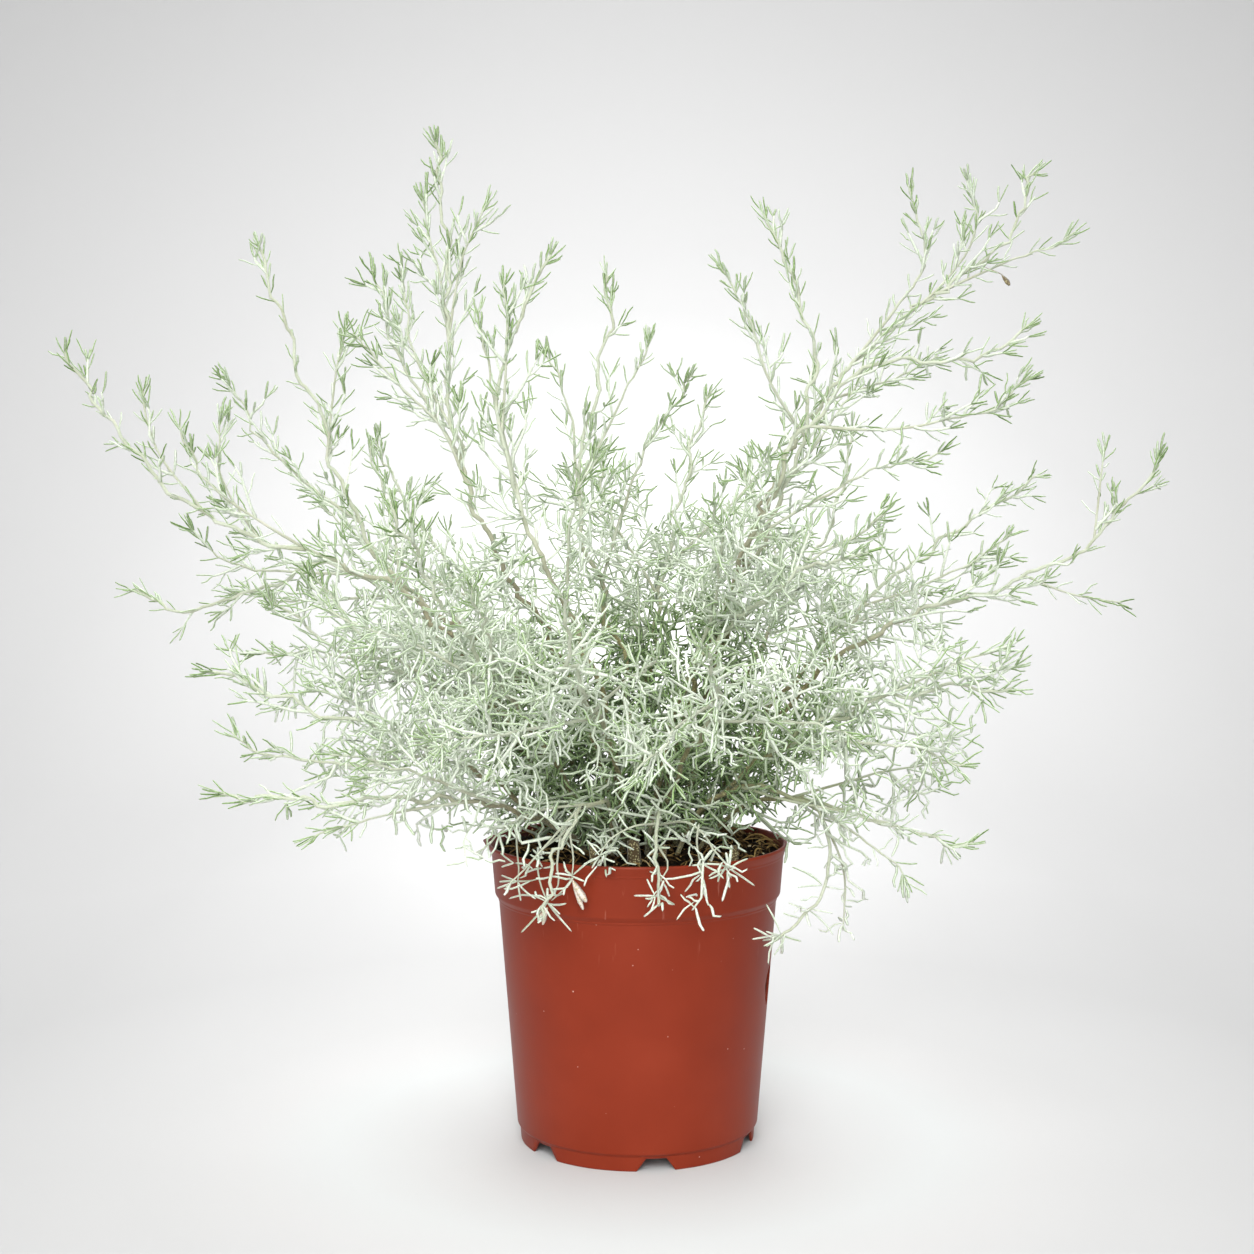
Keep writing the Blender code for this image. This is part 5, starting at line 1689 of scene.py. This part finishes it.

# %% [markdown]
# A leaf is a flat, blunt needle of four rings whose margins and tip are painted
# darker green as painted edge shade, and a twig is round and tapers. A main shoot
# gets more sides, because its wood is seen. Deep in the bush the leaves and twigs
# are painted greener and darker: partly their felt is thinner there, and partly
# this is painted shade in the gaps.

# %% From curves to strings of rings
LEAF_PLACES = np.array([[0.0, 0.1, 0.38, 0.68, 0.94, 1.0]])
LEAF_HALF_WIDTH = 0.78 * MM
LEAF_WIDTHS = np.array([0.7, 1.0, 1.0, 0.82]) * LEAF_HALF_WIDTH
# painted edge shade: the two margins and the tip are painted less silver, so darker green; one value for
# each point of a leaf
LEAF_EDGE_SHADE = np.array([0.25] + [0.48, 0, 0.48, 0] * 4 + [0.45])
LEAF_DEPTH = 0.65
TWIG_SIDES = 4
# twigs deep in the bush are painted less silver: partly thinner felt, partly painted shade
TWIG_SILVER, TWIG_SILVER_DEEP, TWIG_TONE = 0.85, 0.35, 0.8
TWIG_PLACES = np.array([[0.0, 0.04, 0.25, 0.5, 0.75, 0.97, 1.0]])
TWIG_RADII = np.array([1.05, 0.95, 0.86, 0.76, 0.62]) * MM
TWIGLET_PLACES = np.array([[0.0, 0.05, 0.35, 0.68, 0.96, 1.0]])
TWIGLET_RADII = np.array([0.76, 0.7, 0.64, 0.54]) * MM
# deep in the bush the colour is painted greener and darker: partly thinner felt, partly painted shade
DEEP_MIDDLE = np.array([0.02, 0.02, 0.268])
DEEP_REACH = np.array([0.15, 0.13, 0.095])
DEEP_EDGE = (0.6, 1.3)


def thin_felt_and_shade(points):
    """1 deep in the bush and 0 outside it; there the colour is painted greener and darker, partly for
    thinner felt and partly as painted shade.
    """
    return 1 - smooth_step(np.linalg.norm((points - DEEP_MIDDLE) / DEEP_REACH, axis=1), *DEEP_EDGE)


def leaf_strings(some, silver, chance):
    """Flat, blunt needle leaves along curves."""
    centers, heading = curve_at(some, LEAF_PLACES)
    count = len(some.length)
    across = unit(np.cross(heading[:, 2], UP + 0.01))[:, None]
    widths = LEAF_WIDTHS * blend(spreading(some.start), 1.03, 1.2)[:, None]
    points, faces = ring_strings(centers, widths, widths * LEAF_DEPTH, across)
    growth = growth_values(count, len(LEAF_EDGE_SHADE), silver, chance, 0)
    # painted edge shade on each leaf's margins and tip
    growth[:, 0] = np.clip(growth[:, 0] - np.tile(LEAF_EDGE_SHADE, count), 0, 1)
    return points, faces, growth


def twig_strings(some, places, radii, wood):
    """Round twigs along curves, closed at both ends."""
    centers, heading = curve_at(some, places)
    count = len(some.length)
    across = unit(np.cross(heading[:, 1], UP + 0.01))[:, None]
    size = np.broadcast_to(radii, (count, len(radii)))
    points, faces = ring_strings(centers, size, size, across, TWIG_SIDES)
    silver = TWIG_SILVER - TWIG_SILVER_DEEP * thin_felt_and_shade(some.start)
    return points, faces, growth_values(count, TWIG_SIDES * len(radii) + 2, silver, TWIG_TONE, wood)


print("a leaf is", round(2 * LEAF_HALF_WIDTH / MM, 1), "mm wide and", round(LEAF_LENGTH / MM, 1), "mm long")

# %% [markdown]
# Old wood is brown with pale scars and young wood is felted, so the colour of a
# shoot follows its length: a share for how woody it is, and a value that picks
# its tone, darkest at the foot and uneven all along. The darkest brown at the foot
# is partly old bark and partly painted shade under the bush.

# %% The wood of a shoot
# half widths in mm: a start, what each metre of length adds, and a limit
SPRAY_WIDTH, SPRAY_SIDES = (0.6, 4.0, 1.15), 6
SHOOT_WIDTH, SHOOT_SIDES = (1.2, 2.6, 2.4), 8
THIN_SHARE, THIN_LIMIT = 0.55, 1.6
TAPER = 0.8
KNOT_LENGTH = 40 * MM
KNOT_WAVES = 20
# wood deep in the bush is painted less silver: partly thinner felt, partly painted shade
SHOOT_SILVER, SHOOT_SILVER_DEEP = 0.62, 0.3
# a place in the bark's tones: on young wood, what age takes off, which is partly painted shade at the foot,
# and how far knots change it
TONE_YOUNG, TONE_AGE_AND_SHADE, TONE_KNOTS = 0.75, 0.52, 0.14
# how much bark shows through the felt: on young wood, what age adds, and a spray's part of that
WOOD_YOUNG, WOOD_AGEING, SPRAY_AGEING = 0.45, 0.4, 0.4


def shoot_strings(path):
    """The wood of a main shoot or spray: thick and brown below, pale above.

    Its half width falls with the share of the length to the power of the taper.
    """
    points = path.points
    along = lengths_along(points)
    start, per_metre, limit = SPRAY_WIDTH if path.is_spray else SHOOT_WIDTH
    sides = SPRAY_SIDES if path.is_spray else SHOOT_SIDES
    thick = min(start + per_metre * along[-1], limit)
    thin = THIN_SHARE * min(thick, THIN_LIMIT)
    root = points[0] - 0.5 * (points[1] - points[0])
    tip = points[-1] + 0.3 * (points[-1] - points[-2])
    centers = np.vstack([root, points, tip])[None]
    share = along / along[-1]
    radii = (thick + (thin - thick) * share ** TAPER)[None] * MM
    across = np.broadcast_to(np.array([0.6, 0.8, 0.1]), (1, 1, 3))
    solid, faces = ring_strings(centers, radii, radii, across, sides)
    rows = np.concatenate([[0], np.repeat(share, sides), [1]])
    old = 1 - smooth_step(rows, 0.3, 0.7)
    knots = wave_field(solid, np.random.default_rng(path.owner), KNOT_LENGTH, KNOT_WAVES, 0.5)
    # the darker bark tone at a main shoot's foot is partly painted shade
    age_and_shade = 0.0 if path.is_spray else TONE_AGE_AND_SHADE
    chance = np.clip(TONE_YOUNG - age_and_shade * old + TONE_KNOTS * knots, 0, 1)
    wood = WOOD_YOUNG + WOOD_AGEING * old * (SPRAY_AGEING if path.is_spray else 1.0)
    silver = SHOOT_SILVER - SHOOT_SILVER_DEEP * thin_felt_and_shade(solid)
    growth = np.stack([silver, chance, wood, rows], axis=1)
    return solid, faces, growth


print("a main shoot is up to", 2 * SHOOT_WIDTH[2], "mm thick")

# %% [markdown]
# A stem, its sprays, twigs and leaves grew as one piece, so they are one mesh,
# and each replaces the imported stem of the same number. How silver a leaf is
# goes by its age, its depth in the bush, which is partly painted shade, and slow
# patches over the whole plant.

# %% One piece for each stem
# SILVER_DEEP paints leaves deep in the bush greener and darker: partly thinner felt, partly painted shade
SILVER_FULL, SILVER_YOUNG, SILVER_DEEP = 0.92, 0.3, 0.6
PATCH_LENGTH, PATCH_WAVES, PATCH_SILVER = 90 * MM, 30, 0.16
SILVER_HANGING, SILVER_SPREAD = 1.1, 0.1
# below these heights, a soft limit, hanging leaves are at their whitest
LOWEST = (0.205, 0.225)
TWIG_WOOD, TWIGLET_WOOD = 0.15, 0.1


def leaf_silver():
    """How silver a leaf is painted: thin felt on young tips, and less silver deep in the bush, partly for
    thinner felt and partly as painted shade.
    """
    patch = wave_field(leaves.start, np.random.default_rng(SEED + 3), PATCH_LENGTH, PATCH_WAVES, 0.6)
    silver = (SILVER_FULL - SILVER_YOUNG * leaf_youth * (1 - leaf_spread)
              - SILVER_DEEP * thin_felt_and_shade(leaves.start) ** 2 + PATCH_SILVER * patch)
    low = over_rim(leaves.start) * (1 - smooth_step(leaves.start[:, 2], *LOWEST))
    silver = blend(low, silver, SILVER_HANGING)
    return np.clip(silver + rng.normal(0, SILVER_SPREAD, len(silver)), 0.02, 1.3)


def make_stems():
    """Strings of rings for wood, twigs and leaves, joined stem by stem."""
    silver, chance = leaf_silver(), uniform(0, 1, len(leaves.length))
    total = 0
    for owner in range(len(STEMS)):
        mine = leaves.owner == owner
        parts = [shoot_strings(path) for path in paths + front_paths if path.owner == owner]
        parts.append(leaf_strings(chosen(leaves, mine), silver[mine], chance[mine]))
        parts.append(twig_strings(chosen(twigs, twigs.owner == owner), TWIG_PLACES, TWIG_RADII,
                                  TWIG_WOOD))
        parts.append(twig_strings(chosen(twiglets, twiglets.owner == owner), TWIGLET_PLACES,
                                  TWIGLET_RADII, TWIGLET_WOOD))
        parts += dried_strings(owner)
        stem = mesh_object(f"felted_stem_{owner + 1:02d}", *joined(parts))
        stem.data.materials.append(foliage)
        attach(stem, "root")
        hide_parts(f"leafy_stem_{owner + 1:02d}")
        total += triangle_count(stem)
    print(len(STEMS), "stems,", total, "triangles")


make_stems()
